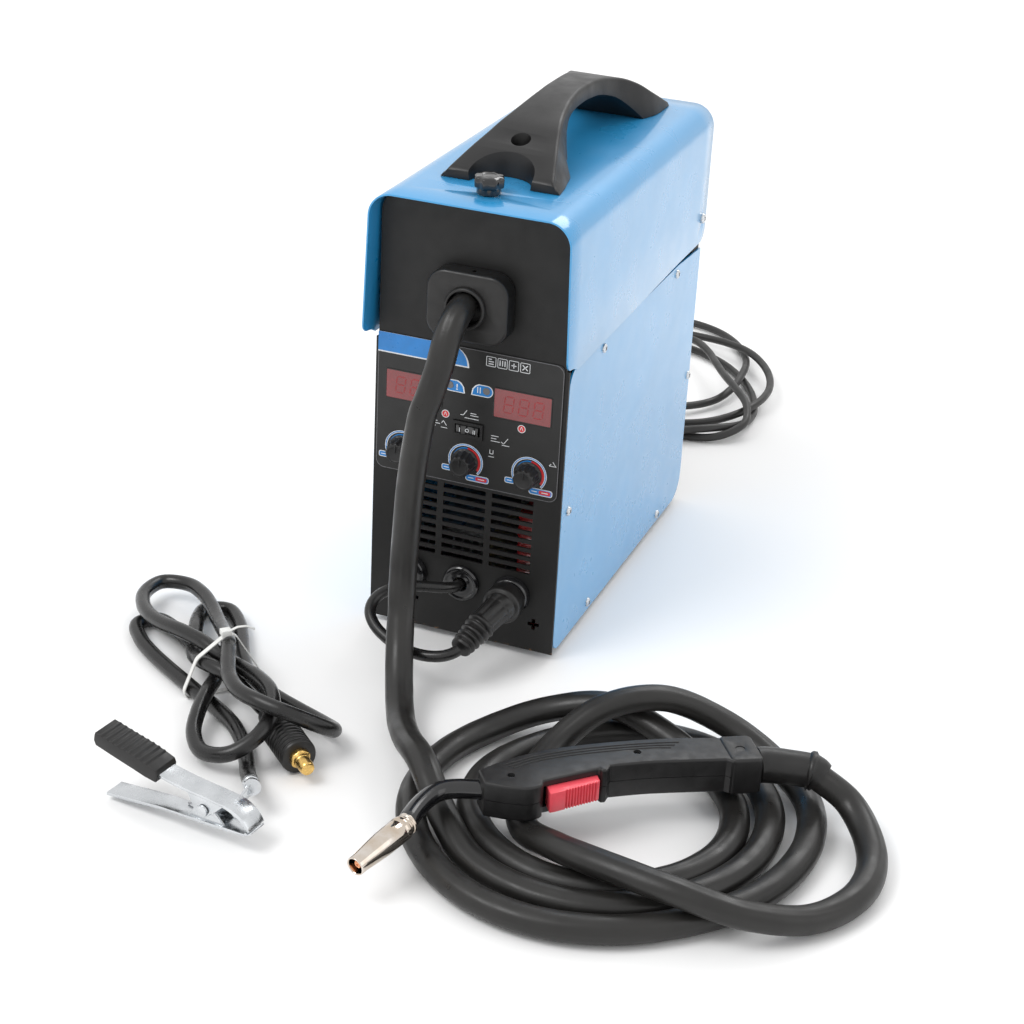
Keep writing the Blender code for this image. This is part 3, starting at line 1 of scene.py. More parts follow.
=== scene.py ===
"""Looks for the inverter MIG welder, its torch, earth lead and mains lead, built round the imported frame.
Lengths in the tables are millimetres in the row frame. +X is the visible side, -Y the front, +Z up."""
import math

import bmesh
import bpy
from mathutils import Matrix, Vector, noise


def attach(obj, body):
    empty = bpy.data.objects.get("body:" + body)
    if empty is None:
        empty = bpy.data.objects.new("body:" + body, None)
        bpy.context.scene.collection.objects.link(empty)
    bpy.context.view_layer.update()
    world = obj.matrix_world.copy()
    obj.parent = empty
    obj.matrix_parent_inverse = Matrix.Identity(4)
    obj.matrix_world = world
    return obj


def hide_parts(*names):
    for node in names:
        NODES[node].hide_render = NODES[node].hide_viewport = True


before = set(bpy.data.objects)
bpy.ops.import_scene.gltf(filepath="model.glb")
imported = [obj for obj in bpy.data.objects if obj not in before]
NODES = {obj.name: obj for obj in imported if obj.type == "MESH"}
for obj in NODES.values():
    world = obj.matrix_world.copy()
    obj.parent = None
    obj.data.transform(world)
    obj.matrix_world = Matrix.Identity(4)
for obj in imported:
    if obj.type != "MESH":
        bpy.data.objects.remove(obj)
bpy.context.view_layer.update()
M = 0.001
TAU = 2 * math.pi


# ---- shapes: each is (vertices in mm, faces, material index) ------------------------------
def box(lo, hi, mat=0):
    v = [(x, y, z) for x in (lo[0], hi[0]) for y in (lo[1], hi[1]) for z in (lo[2], hi[2])]
    return v, [(0, 1, 3, 2), (4, 6, 7, 5), (0, 4, 5, 1), (2, 3, 7, 6), (0, 2, 6, 4), (1, 5, 7, 3)], mat


def basis(along):
    w = Vector(along).normalized()
    u = w.cross(Vector((0, 0, 1)))
    u = u.normalized() if u.length > 0.05 else Vector((1, 0, 0))
    return u, w.cross(u), w


def lathe(at, along, profile, sides=48, mat=0, wobble=None):
    """Turn (radius, distance along the axis) about an axis through a point."""
    u, v, w = basis(along)
    at = Vector(at)
    verts, rings = [], []
    for r, d in profile:
        rings.append(len(verts))
        if r < 1e-6:
            verts.append(at + w * d)
            continue
        for s in range(sides):
            t = TAU * s / sides
            k = r * (wobble(t, r, d) if wobble else 1.0)
            verts.append(at + w * d + u * (k * math.cos(t)) + v * (k * math.sin(t)))
    faces = []
    closed = profile[0][0] > 1e-6 and profile[-1][0] > 1e-6
    pairs = list(range(len(profile) - 1)) + ([-1] if closed else [])
    for i in pairs:
        a, b = rings[i], rings[i + 1]
        ra, rb = profile[i][0] > 1e-6, profile[i + 1][0] > 1e-6
        for s in range(sides):
            t = (s + 1) % sides
            if ra and rb:
                faces.append((a + s, a + t, b + t, b + s))
            elif rb:
                faces.append((a, b + s, b + t))
            elif ra:
                faces.append((a + s, a + t, b))
    return verts, faces, mat


def slab(outline, place, low, high, mat=0):
    """Extrude an outline of (a, b) between two heights with a function that places (a, b, h)."""
    n = len(outline)
    verts = [place(a, b, low) for a, b in outline] + [place(a, b, high) for a, b in outline]
    faces = [tuple(range(n)), tuple(range(2 * n - 1, n - 1, -1))]
    faces += [(i, (i + 1) % n, n + (i + 1) % n, n + i) for i in range(n)]
    return verts, faces, mat


def frames(path):
    """Tangent, side and up at each point, turning as little as possible."""
    pts = [Vector(p) for p in path]
    out = []
    side = None
    for i in range(len(pts)):
        t = (pts[min(i + 1, len(pts) - 1)] - pts[max(i - 1, 0)]).normalized()
        if side is None:
            side = t.cross(Vector((0, 0, 1)))
            side = side if side.length > 0.05 else t.cross(Vector((1, 0, 0)))
        side = (side - t * side.dot(t)).normalized()
        out.append((pts[i], t, side, t.cross(side)))
    return out


def tube(path, radii, sides=24, mat=0, shape=None):
    """A round bar along a path; shape(i, angle, direction, tangent) scales the radius."""
    verts, faces = [], []
    fr = frames(path)
    radii = radii if isinstance(radii, (list, tuple)) else [radii] * len(fr)
    for i, (p, t, a, b) in enumerate(fr):
        for s in range(sides):
            q = TAU * s / sides
            d = a * math.cos(q) + b * math.sin(q)
            verts.append(p + d * (radii[i] * (shape(i, q, d, t) if shape else 1.0)))
    for i in range(len(fr) - 1):
        for s in range(sides):
            t = (s + 1) % sides
            faces.append((i * sides + s, i * sides + t, (i + 1) * sides + t, (i + 1) * sides + s))
    faces += [tuple(range(sides)), tuple(range((len(fr) - 1) * sides, len(fr) * sides))]
    return verts, faces, mat


def arc(cx, cy, r, a0, a1, n):
    return [(cx + r * math.cos(math.radians(a0 + (a1 - a0) * i / n)),
             cy + r * math.sin(math.radians(a0 + (a1 - a0) * i / n))) for i in range(n + 1)]


def rounded(x0, y0, x1, y1, r, n=8):
    return (arc(x0 + r, y0 + r, r, 180, 270, n) + arc(x1 - r, y0 + r, r, 270, 360, n)
            + arc(x1 - r, y1 - r, r, 0, 90, n) + arc(x0 + r, y1 - r, r, 90, 180, n))


def band(outer, inner, place, low, high):
    """A flat ring between two outlines of as many points."""
    n = len(outer)
    verts = [place(a, b, h) for h in (low, high) for line in (outer, inner) for a, b in line]
    faces = []
    for i in range(n):
        j = (i + 1) % n
        faces += [(i, j, n + j, n + i), (2 * n + i, 3 * n + i, 3 * n + j, 2 * n + j),
                  (i, 2 * n + i, 2 * n + j, j), (n + i, n + j, 3 * n + j, 3 * n + i)]
    return verts, faces, 0


def smooth_line(route, step):
    """Evenly spaced points on a smooth curve through a route."""
    pts = [Vector(p) for p in route]
    pts = [pts[0] * 2 - pts[1]] + pts + [pts[-1] * 2 - pts[-2]]
    fine = []
    for i in range(1, len(pts) - 2):
        a, b, c, d = pts[i - 1:i + 3]
        for k in range(12):
            t = k / 12
            fine.append(0.5 * (2 * b + (c - a) * t + (2 * a - 5 * b + 4 * c - d) * t * t
                               + (3 * b - a - 3 * c + d) * t ** 3))
    fine.append(pts[-2].copy())
    run = [0.0]
    for a, b in zip(fine[:-1], fine[1:]):
        run.append(run[-1] + (b - a).length)
    count = max(3, round(run[-1] / step) + 1)
    out, j = [], 0
    for i in range(count):
        want = run[-1] * i / (count - 1)
        while j < len(run) - 2 and run[j + 1] < want:
            j += 1
        t = (want - run[j]) / max(run[j + 1] - run[j], 1e-9)
        out.append(fine[j].lerp(fine[j + 1], min(1.0, max(0.0, t))))
    return out, run[-1]


def mesh_of(name, shapes):
    mesh = bpy.data.meshes.new(name)
    verts, faces, mats = [], [], []
    for v, f, m in shapes:
        n = len(verts)
        verts += [tuple(c * M for c in p) for p in v]
        faces += [tuple(n + i for i in face) for face in f]
        mats += [m] * len(f)
    mesh.from_pydata(verts, [], faces)
    mesh.polygons.foreach_set("material_index", mats)
    bm = bmesh.new()
    bm.from_mesh(mesh)
    bmesh.ops.remove_doubles(bm, verts=bm.verts, dist=2e-6)
    bmesh.ops.recalc_face_normals(bm, faces=bm.faces)
    bm.to_mesh(mesh)
    bm.free()
    return mesh


def piece(name, shapes, mats, body, bevel=0.0, seg=2, angle=32, cut=None, instead=(), slot=None,
          solid=0.0, smooth=38, pre=None):
    """Make one visual piece: build, cut, round and smooth it, then let it ride on its body."""
    obj = bpy.data.objects.new(name, mesh_of(name, shapes))
    bpy.context.scene.collection.objects.link(obj)
    for m in mats if isinstance(mats, (list, tuple)) else [mats]:
        obj.data.materials.append(m)
    if pre:
        mod = obj.modifiers.new("round", "BEVEL")
        mod.width, mod.segments, mod.limit_method = pre[0] * M, pre[1], "ANGLE"
        mod.angle_limit = math.radians(60)
    if solid:
        mod = obj.modifiers.new("solid", "SOLIDIFY")
        mod.thickness, mod.offset, mod.use_even_offset = solid * M, -1, True
    cutters = []
    for shapes_cut in cut or []:
        tool = bpy.data.objects.new(name + "_cut", mesh_of(name + "_cut", shapes_cut))
        bpy.context.scene.collection.objects.link(tool)
        mod = obj.modifiers.new("cut", "BOOLEAN")
        mod.operation, mod.solver, mod.object = "DIFFERENCE", "EXACT", tool
        cutters.append(tool)
    if bevel:
        mod = obj.modifiers.new("bevel", "BEVEL")
        mod.width, mod.segments, mod.limit_method = bevel * M, seg, "ANGLE"
        mod.angle_limit = math.radians(angle)
        mod.harden_normals = False
    bpy.context.view_layer.update()
    done = bpy.data.meshes.new_from_object(obj.evaluated_get(bpy.context.evaluated_depsgraph_get()))
    obj.modifiers.clear()
    obj.data = done
    for tool in cutters:
        bpy.data.objects.remove(tool, do_unlink=True)
    for poly in done.polygons:
        poly.use_smooth = True
    done.set_sharp_from_angle(angle=math.radians(smooth))
    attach(obj, body)
    if instead:
        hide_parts(*instead)
    return obj


# ---- materials ---------------------------------------------------------------------------
def surface(name, base, rough=0.5, metal=0.0, vary=0.15, scale=35.0, grain=1400.0, bump=0.2, rvar=0.12,
            coat=0.0, coat_rough=0.1, spec=0.5, second=None, stretch=(1, 1, 1), deep=0.3):
    """A Principled surface whose colour, roughness and relief each come from their own noise."""
    mat = bpy.data.materials.new(name)
    mat.use_nodes = True
    tree = mat.node_tree
    link = tree.links.new
    sh = tree.nodes["Principled BSDF"]
    sh.inputs["Metallic"].default_value = metal
    sh.inputs["Specular IOR Level"].default_value = spec
    sh.inputs["Coat Weight"].default_value = coat
    sh.inputs["Coat Roughness"].default_value = coat_rough
    coords = tree.nodes.new("ShaderNodeTexCoord")
    warp = tree.nodes.new("ShaderNodeMapping")
    warp.inputs["Scale"].default_value = stretch
    link(coords.outputs["Object"], warp.inputs["Vector"])

    def grainy(size, detail=3.0):
        n = tree.nodes.new("ShaderNodeTexNoise")
        n.inputs["Scale"].default_value = size
        n.inputs["Detail"].default_value = detail
        link(warp.outputs["Vector"], n.inputs["Vector"])
        return n
    cloud = grainy(scale, 4.0)
    ramp = tree.nodes.new("ShaderNodeValToRGB")
    other = second or [c * (1 - vary) for c in base]
    ramp.color_ramp.elements[0].position = 0.3
    ramp.color_ramp.elements[1].position = 0.7
    ramp.color_ramp.elements[0].color = (*other, 1)
    ramp.color_ramp.elements[1].color = (*[min(1, c * (1 + vary * 0.6)) for c in base], 1)
    link(cloud.outputs["Fac"], ramp.inputs["Fac"])
    link(ramp.outputs["Color"], sh.inputs["Base Color"])
    patch = grainy(scale * 2.3, 5.0)
    level = tree.nodes.new("ShaderNodeMapRange")
    level.inputs["From Min"].default_value = 0.3
    level.inputs["From Max"].default_value = 0.7
    level.inputs["To Min"].default_value = max(0.02, rough - rvar)
    level.inputs["To Max"].default_value = min(1.0, rough + rvar)
    link(patch.outputs["Fac"], level.inputs["Value"])
    link(level.outputs["Result"], sh.inputs["Roughness"])
    fine = grainy(grain, 2.0)
    relief = tree.nodes.new("ShaderNodeBump")
    relief.inputs["Strength"].default_value = bump
    relief.inputs["Distance"].default_value = deep * M
    link(fine.outputs["Fac"], relief.inputs["Height"])
    link(relief.outputs["Normal"], sh.inputs["Normal"])
    return mat


def layer(mat, mask, colour, rough=None):
    """Lay another colour over a surface where a mask output is high."""
    tree = mat.node_tree
    sh = tree.nodes["Principled BSDF"]
    for socket, value in (("Base Color", colour), ("Roughness", rough)):
        if value is None:
            continue
        was = sh.inputs[socket].links[0].from_socket
        mix = tree.nodes.new("ShaderNodeMix")
        kind = "RGBA" if socket == "Base Color" else "FLOAT"
        mix.data_type = kind
        slots = {"RGBA": (0, 6, 7, 2), "FLOAT": (0, 2, 3, 0)}[kind]
        tree.links.new(mask, mix.inputs[slots[0]])
        tree.links.new(was, mix.inputs[slots[1]])
        mix.inputs[slots[2]].default_value = (*value, 1) if kind == "RGBA" else value
        tree.links.new(mix.outputs[slots[3]], sh.inputs[socket])
    return mat


def span_mask(mat, axis, low, high, soft, noise_scale=0.0, cut=0.5):
    """A mask that is 1 between two object-space heights in mm, broken up by noise if asked."""
    tree = mat.node_tree
    coords = tree.nodes.new("ShaderNodeTexCoord")
    split = tree.nodes.new("ShaderNodeSeparateXYZ")
    tree.links.new(coords.outputs["Object"], split.inputs["Vector"])

    def step(edge, sign):
        n = tree.nodes.new("ShaderNodeMapRange")
        n.inputs["From Min"].default_value = (edge - sign * soft) * M
        n.inputs["From Max"].default_value = (edge + sign * soft) * M
        tree.links.new(split.outputs[axis], n.inputs["Value"])
        return n.outputs["Result"]
    both = tree.nodes.new("ShaderNodeMath")
    both.operation = "MULTIPLY"
    tree.links.new(step(low, 1), both.inputs[0])
    tree.links.new(step(high, -1), both.inputs[1])
    out = both.outputs["Value"]
    if noise_scale:
        n = tree.nodes.new("ShaderNodeTexNoise")
        n.inputs["Scale"].default_value = noise_scale
        n.inputs["Detail"].default_value = 6.0
        n.inputs["Roughness"].default_value = 0.65
        tree.links.new(coords.outputs["Object"], n.inputs["Vector"])
        sharp = tree.nodes.new("ShaderNodeMapRange")
        sharp.inputs["From Min"].default_value = cut - 0.02
        sharp.inputs["From Max"].default_value = cut + 0.02
        tree.links.new(n.outputs["Fac"], sharp.inputs["Value"])
        mul = tree.nodes.new("ShaderNodeMath")
        mul.operation = "MULTIPLY"
        tree.links.new(out, mul.inputs[0])
        tree.links.new(sharp.outputs["Result"], mul.inputs[1])
        out = mul.outputs["Value"]
    return out


BLUE = surface("blue_powder_coat", (0.026, 0.290, 0.600), 0.30, vary=0.05, scale=14, grain=900,
    bump=0.05, rvar=0.05, coat=0.9, coat_rough=0.10, spec=0.6, deep=0.08)
PANEL = surface("black_powder_coat", (0.0085, 0.0082, 0.0080), 0.50, vary=0.2, scale=30, grain=1500,
    bump=0.35, rvar=0.07, spec=0.38, deep=0.10)
layer(PANEL, span_mask(PANEL, 2, 5.0, 7.4, 0.7, 190.0, 0.60), (0.20, 0.115, 0.065), 0.45)
REARPANEL = surface("black_powder_coat_rear", (0.0085, 0.0082, 0.0080), 0.50, vary=0.2, scale=30,
    grain=1500, bump=0.35, rvar=0.07, spec=0.38, deep=0.10)
MOULD = surface("black_moulding", (0.0085, 0.0083, 0.0086), 0.42, vary=0.22, scale=60, grain=1700,
    bump=0.4, rvar=0.08, spec=0.5, deep=0.12)
GRIPMAT = surface("handle_moulding", (0.0105, 0.0102, 0.0105), 0.40, vary=0.18, scale=26, grain=1100,
    bump=0.42, rvar=0.09, spec=0.42, deep=0.15, second=(0.0075, 0.0073, 0.0076))
GLOSS = surface("gloss_black", (0.008, 0.008, 0.009), 0.16, vary=0.2, scale=80, grain=600, bump=0.03,
    rvar=0.05, coat=0.5, coat_rough=0.05)
NECK = surface("neck_sleeve", (0.006, 0.006, 0.007), 0.2, vary=0.25, scale=70, grain=420, bump=0.08,
    rvar=0.07, coat=0.5, coat_rough=0.08)
RUBBER = surface("black_rubber", (0.0105, 0.0100, 0.0098), 0.40, vary=0.25, scale=45, grain=900,
    bump=0.22, rvar=0.1, spec=0.45, deep=0.15)
LEAD = surface("lead_sheath", (0.0085, 0.0082, 0.0082), 0.28, vary=0.25, scale=38, grain=700, bump=0.15,
    rvar=0.1, spec=0.5, deep=0.12)
MAINS = surface("mains_sheath", (0.018, 0.0175, 0.017), 0.42, vary=0.2, scale=40, grain=800, bump=0.16,
    rvar=0.1)
SLEEVE = surface("torch_sleeve", (0.0165, 0.0157, 0.0147), 0.38, vary=0.3, scale=24, grain=650,
    bump=0.30, rvar=0.11, spec=0.42, deep=0.2, second=(0.0115, 0.0110, 0.0104))
ZINC = surface("zinc_plate", (0.66, 0.68, 0.70), 0.24, 1.0, vary=0.12, scale=60, grain=700, bump=0.10,
    rvar=0.1, second=(0.58, 0.60, 0.62))
GALV = surface("galvanised_sheet", (0.60, 0.61, 0.63), 0.42, 1.0, vary=0.3, scale=90, grain=500,
    bump=0.08, rvar=0.12)
BRASS = surface("brass", (0.80, 0.52, 0.17), 0.25, 1.0, vary=0.2, scale=160, grain=900, bump=0.12,
    rvar=0.1, stretch=(1, 1, 3))
CHROME = surface("nozzle_plate", (0.70, 0.66, 0.62), 0.11, 1.0, vary=0.18, scale=55, grain=500,
    bump=0.04, rvar=0.05, second=(0.60, 0.50, 0.40))
COPPER = surface("copper_wire", (0.78, 0.36, 0.19), 0.3, 1.0, vary=0.25, scale=150, grain=900, bump=0.2,
    rvar=0.1)
RED = surface("red_trigger", (0.84, 0.085, 0.115), 0.36, vary=0.12, scale=90, grain=900, bump=0.12,
    rvar=0.07, coat=0.15, coat_rough=0.25)
WHITE = surface("white_nylon", (0.72, 0.72, 0.70), 0.42, vary=0.1, scale=120, grain=900, bump=0.15)
NYLON = surface("grey_nylon", (0.16, 0.16, 0.165), 0.48, vary=0.15, scale=70, grain=1100, bump=0.2)
ALLOY = surface("extruded_alloy", (0.62, 0.63, 0.64), 0.36, 1.0, vary=0.2, scale=60, grain=700, bump=0.15,
                stretch=(1, 0.1, 1))
CAST = surface("cast_alloy", (0.50, 0.51, 0.53), 0.45, 1.0, vary=0.25, scale=120, grain=1300, bump=0.4)
WINDING = surface("red_winding", (0.36, 0.012, 0.012), 0.32, vary=0.35, scale=80, grain=260, bump=0.5,
    coat=0.4, deep=0.6, stretch=(0.4, 0.4, 3.0))
TAPE = surface("yellow_tape", (0.60, 0.40, 0.05), 0.45, vary=0.2, scale=60, grain=300, bump=0.3,
    stretch=(0.3, 0.3, 2.0))
FILM = surface("overlay_film", (0.0090, 0.0088, 0.0087), 0.38, vary=0.1, scale=40, grain=1900, bump=0.16,
    rvar=0.05, spec=0.5, deep=0.06)
INK_W = surface("ink_white", (0.72, 0.74, 0.76), 0.4, vary=0.06, scale=200, grain=1900, bump=0.08)
INK_B = surface("ink_blue", (0.012, 0.20, 0.56), 0.36, vary=0.08, scale=120, grain=1900, bump=0.08,
    spec=0.6)
INK_R = surface("ink_red", (0.62, 0.03, 0.035), 0.38, vary=0.1, scale=120, grain=1900, bump=0.08)
INK_G = surface("ink_grey", (0.16, 0.16, 0.17), 0.5, vary=0.25, scale=600, grain=2500, bump=0.2)
LENS = surface("red_window", (0.21, 0.010, 0.014), 0.12, vary=0.14, scale=30, grain=900, bump=0.02,
    rvar=0.03, coat=0.6, coat_rough=0.04, spec=0.7)
SEGMENT = surface("unlit_segment", (0.30, 0.022, 0.026), 0.15, vary=0.1, scale=60, grain=900, bump=0.02)
BOARD = surface("circuit_board", (0.01, 0.10, 0.035), 0.4, vary=0.3, scale=140, grain=700, bump=0.3)
FLOOR = surface("studio_floor", (0.90, 0.90, 0.90), 0.75, vary=0.01, scale=3, grain=60, bump=0.02,
    spec=0.2)

SHOWN = {
    PANEL: ["front_panel"],
    REARPANEL: ["rear_panel"],
    BLUE: ["side_panel_left", "side_panel_right"],
    GALV: ["base_tray", "mid_shelf", "spool_wall"],
    RUBBER: ["foot_front_left", "foot_front_right", "foot_rear_left", "foot_rear_right"],
    NYLON: ["spool_hub", "feed_block"],
    CAST: ["pressure_arm"],
    ZINC: ["pressure_roll", "feed_motor"],
    ALLOY: ["heatsink"],
    TAPE: ["main_transformer"],
    MOULD: ["fan_frame", "power_switch_body", "mode_switch_body"],
    FILM: ["control_overlay"],
}
for made, names in SHOWN.items():
    for node in names:
        NODES[node].data.materials.clear()
        NODES[node].data.materials.append(made)


# ---- more shape helpers -------------------------------------------------------------------
def along_x(a, b, h):
    return h, a, b


def along_y(a, b, h):
    return a, h, b


def along_z(a, b, h):
    return a, b, h


def fascia(a, b, h):
    """A spot on the overlay: across, up and out from its face."""
    return a, FACE - h, b


def offset(outline, d):
    """Move an outline inwards by d, whichever way round it runs."""
    n = len(outline)
    area = sum(outline[i][0] * outline[(i + 1) % n][1] - outline[(i + 1) % n][0] * outline[i][1]
               for i in range(n))
    sign = 1 if area > 0 else -1
    out = []
    for i in range(n):
        a, b, c = (Vector(outline[k % n]) for k in (i - 1, i, i + 1))
        p, q = (b - a), (c - b)
        p = p.normalized() if p.length > 1e-6 else q.normalized()
        q = q.normalized() if q.length > 1e-6 else p
        na, nb = Vector((-p.y, p.x)), Vector((-q.y, q.x))
        m = na + nb
        m = m / max(0.4, m.length_squared / 2)
        out.append(tuple(b + m * (sign * d)))
    return out


def curve2(points, step=2.0):
    """A smooth line through flat points."""
    return [(p.x, p.y) for p in smooth_line([(a, b, 0.0) for a, b in points], step)[0]]


def sector(cx, cz, r0, r1, a0, a1):
    return arc(cx, cz, r1, a0, a1, 28) + arc(cx, cz, r0, a1, a0, 28)


def loft(rings):
    """Join closed rings of as many points, with both ends closed."""
    n = len(rings[0])
    verts = [p for ring in rings for p in ring]
    faces = [tuple(range(n)), tuple(range((len(rings) - 1) * n, len(rings) * n))]
    for i in range(len(rings) - 1):
        for s in range(n):
            t = (s + 1) % n
            faces.append((i * n + s, i * n + t, (i + 1) * n + t, (i + 1) * n + s))
    return verts, faces, 0


def drill(at, along, r, d0, d1, sides=32):
    return lathe(at, along, [(0, d0), (r, d0), (r, d1), (0, d1)], sides)


def flutes(count, depth, low, high):
    """A knob's grooves, only where the radius is in the range."""
    return lambda t, r, d: 1 - depth * (0.5 - 0.5 * math.cos(count * t)) ** 0.7 if low < r < high else 1.0


# ---- camera, light and floor --------------------------------------------------------------
YAW, ELEV, ROLL = 0.35011, 0.45539, 0.05479
CAMERA_AT = (0.5855, -1.6671, 0.9066)
BACK = Vector((math.sin(YAW) * math.cos(ELEV), -math.cos(YAW) * math.cos(ELEV), math.sin(ELEV)))
RIGHT0 = Vector((math.cos(YAW), math.sin(YAW), 0.0))
UP0 = BACK.cross(RIGHT0)
RIGHT = RIGHT0 * math.cos(ROLL) + UP0 * math.sin(ROLL)
UP = UP0 * math.cos(ROLL) - RIGHT0 * math.sin(ROLL)
scene = bpy.context.scene
lens = bpy.data.cameras.new("camera")
lens.lens, lens.sensor_width, lens.clip_end = 76.74, 36.0, 60.0
camera = bpy.data.objects.new("camera", lens)
scene.collection.objects.link(camera)
camera.matrix_world = Matrix((
    *((RIGHT[i], UP[i], BACK[i], CAMERA_AT[i]) for i in range(3)), (0, 0, 0, 1)))
scene.camera = camera
scene.view_settings.view_transform = "Standard"
scene.view_settings.look = "None"

world = bpy.data.worlds.new("studio")
scene.world = world
world.use_nodes = True
world.node_tree.nodes["Background"].inputs["Color"].default_value = (1.0, 1.0, 1.0, 1)
world.node_tree.nodes["Background"].inputs["Strength"].default_value = 0.95


def softbox(name, at, aim, size, power):
    light = bpy.data.lights.new(name, "AREA")
    light.shape = "RECTANGLE"
    light.size, light.size_y = size
    light.energy = power
    obj = bpy.data.objects.new(name, light)
    obj.location = at
    obj.rotation_euler = (Vector(aim) - Vector(at)).to_track_quat("-Z", "Y").to_euler()
    scene.collection.objects.link(obj)


softbox("key", (-1.2, -1.6, 2.6), (0.0, 0.0, 0.1), (1.6, 1.2), 40.0)
softbox("side", (2.6, -0.4, 1.5), (0.0, 0.0, 0.2), (1.4, 1.8), 5.0)
softbox("rear", (0.4, 2.2, 2.4), (0.0, 0.0, 0.2), (2.0, 1.0), 24.0)

floor_mesh = bpy.data.meshes.new("studio_floor")
floor_mesh.from_pydata([(-9, -7, 0), (9, -7, 0), (9, 11, 0), (-9, 11, 0)], [], [(0, 1, 2, 3)])
floor_mesh.materials.append(FLOOR)
floor = bpy.data.objects.new("studio_floor", floor_mesh)
scene.collection.objects.link(floor)

# ---- cover --------------------------------------------------------------------------------
TOP, SPLIT, HOOD, TAIL = 385.0, 260.5, -195.0, 182.0
HALF_W, SHEET, FOLD = 82.5, 1.5, 20.0  # half width, thickness and fold radius of the case's sheet
PIVOT, THUMBSCREW_Y = (169.0, 284.0), -155
TOP_SPLAY, LOW_SPLAY = 1.8, 3.2  # how far the front springs out, and how much more at its lower corners


def arch(w, top, r):
    mid = 0.5 * (SPLIT + top - r)
    return ([(-w, SPLIT), (-w, mid)] + arc(-w + r, top - r, r, 180, 90, 14)
            + arc(w - r, top - r, r, 90, 0, 14) + [(w, mid), (w, SPLIT)])


def cover_sheet():
    layers = [arch(HALF_W, TOP, FOLD), arch(HALF_W - SHEET, TOP - SHEET, FOLD - SHEET)]
    rows = 16
    n = len(layers[0])
    verts = []
    for line in layers:
        for i in range(rows):
            t = i / (rows - 1)
            for x, z in line:
                drop = max(0.0, (TOP - FOLD - z) / (TOP - FOLD - SPLIT))
                push = (TOP_SPLAY + LOW_SPLAY * drop) * max(0.0, 1.0 - t * 1.25)
                verts.append((x + math.copysign(push, x), HOOD + (TAIL - HOOD) * t, z))
    faces = []
    half = rows * n
    for i in range(rows - 1):
        for j in range(n - 1):
            a = i * n + j
            faces.append((a, a + 1, a + n + 1, a + n))
            faces.append((half + a, half + a + 1, half + a + n + 1, half + a + n))
        for j in (0, n - 1):
            a = i * n + j
            faces.append((a, a + n, a + n + half, a + half))
    for i in (0, rows - 1):
        for j in range(n - 1):
            a = i * n + j
            faces.append((a, a + 1, a + 1 + half, a + half))
    lift = SPLIT + 5.5
    front = ([(HOOD - 5, SPLIT - 5), (-165, SPLIT - 5), (-169, SPLIT - 1), (-179, SPLIT + 4),
        (HOOD + 9, lift)] + arc(HOOD + 9, lift + 9, 9, 270, 180, 12)[1:] + [(HOOD - 5, lift + 9)])
    rear = ([(TAIL + 5, SPLIT - 5), (TAIL + 5, SPLIT + 13)] + arc(TAIL - 13, SPLIT + 13, 13, 0, -90, 16)
            + [(TAIL - 13, SPLIT - 5)])
    cuts = [[slab(front, along_x, -100, 100)], [slab(rear, along_x, -100, 100)],
        [drill((0, *PIVOT), (1, 0, 0), 2.6, -100, 100),
        drill((0, THUMBSCREW_Y, 0), (0, 0, 1), 3.6, 370, 400)]]
    piece("cover_sheet", [(verts, faces, 0)], BLUE, "cover", bevel=0.4, seg=2, cut=cuts,
        instead=("upper_cover",), slot="blue_paint", smooth=30)


cover_sheet()

# Y, half width at the top, half width at the base, height of the top
HANDLE = [
    (-133.0, 46.0, 50.0, 391.5), (-131.5, 45.2, 50.0, 393.4), (-116.0, 40.4, 48.0, 400.5),
    (-101.0, 35.7, 45.0, 406.9), (-86.0, 31.0, 41.7, 412.7), (-71.0, 26.6, 35.0, 418.6),
    (-56.0, 22.9, 27.5, 422.9), (-41.0, 20.1, 22.6, 426.4), (-26.0, 18.0, 20.2, 429.1),
    (-11.0, 16.6, 19.0, 430.9), (4.0, 15.9, 18.3, 432.1), (19.0, 15.9, 18.4, 432.0),
    (34.0, 16.3, 18.8, 431.6), (49.0, 17.1, 19.8, 430.6), (64.0, 19.3, 22.0, 428.4),
    (79.0, 23.0, 26.5, 425.4), (94.0, 29.0, 33.0, 421.0), (109.0, 36.0, 40.5, 414.0),
    (124.0, 41.0, 45.0, 405.5), (142.0, 44.3, 46.0, 396.5), (158.0, 45.0, 45.8, 388.6),
    (160.5, 44.0, 45.3, 386.6),
]


def fine_stations(table, parts):
    """Smooth values between rows that start with their own position."""
    slopes = []
    for i in range(len(table)):
        a, b = table[max(0, i - 1)], table[min(len(table) - 1, i + 1)]
        slopes.append([(v - u) / (b[0] - a[0]) for u, v in zip(a, b)])
    out = []
    for i in range(len(table) - 1):
        a, b = table[i], table[i + 1]
        h = b[0] - a[0]
        steps = parts if h > 4 else 1
        for k in range(steps):
            t = k / steps
            t2, t3 = t * t, t ** 3
            out.append([(2 * t3 - 3 * t2 + 1) * u + (t3 - 2 * t2 + t) * h * p + (3 * t2 - 2 * t3) * v
                        + (t3 - t2) * h * q for u, v, p, q in zip(a, b, slopes[i], slopes[i + 1])])
    out.append(list(table[-1]))
    return out


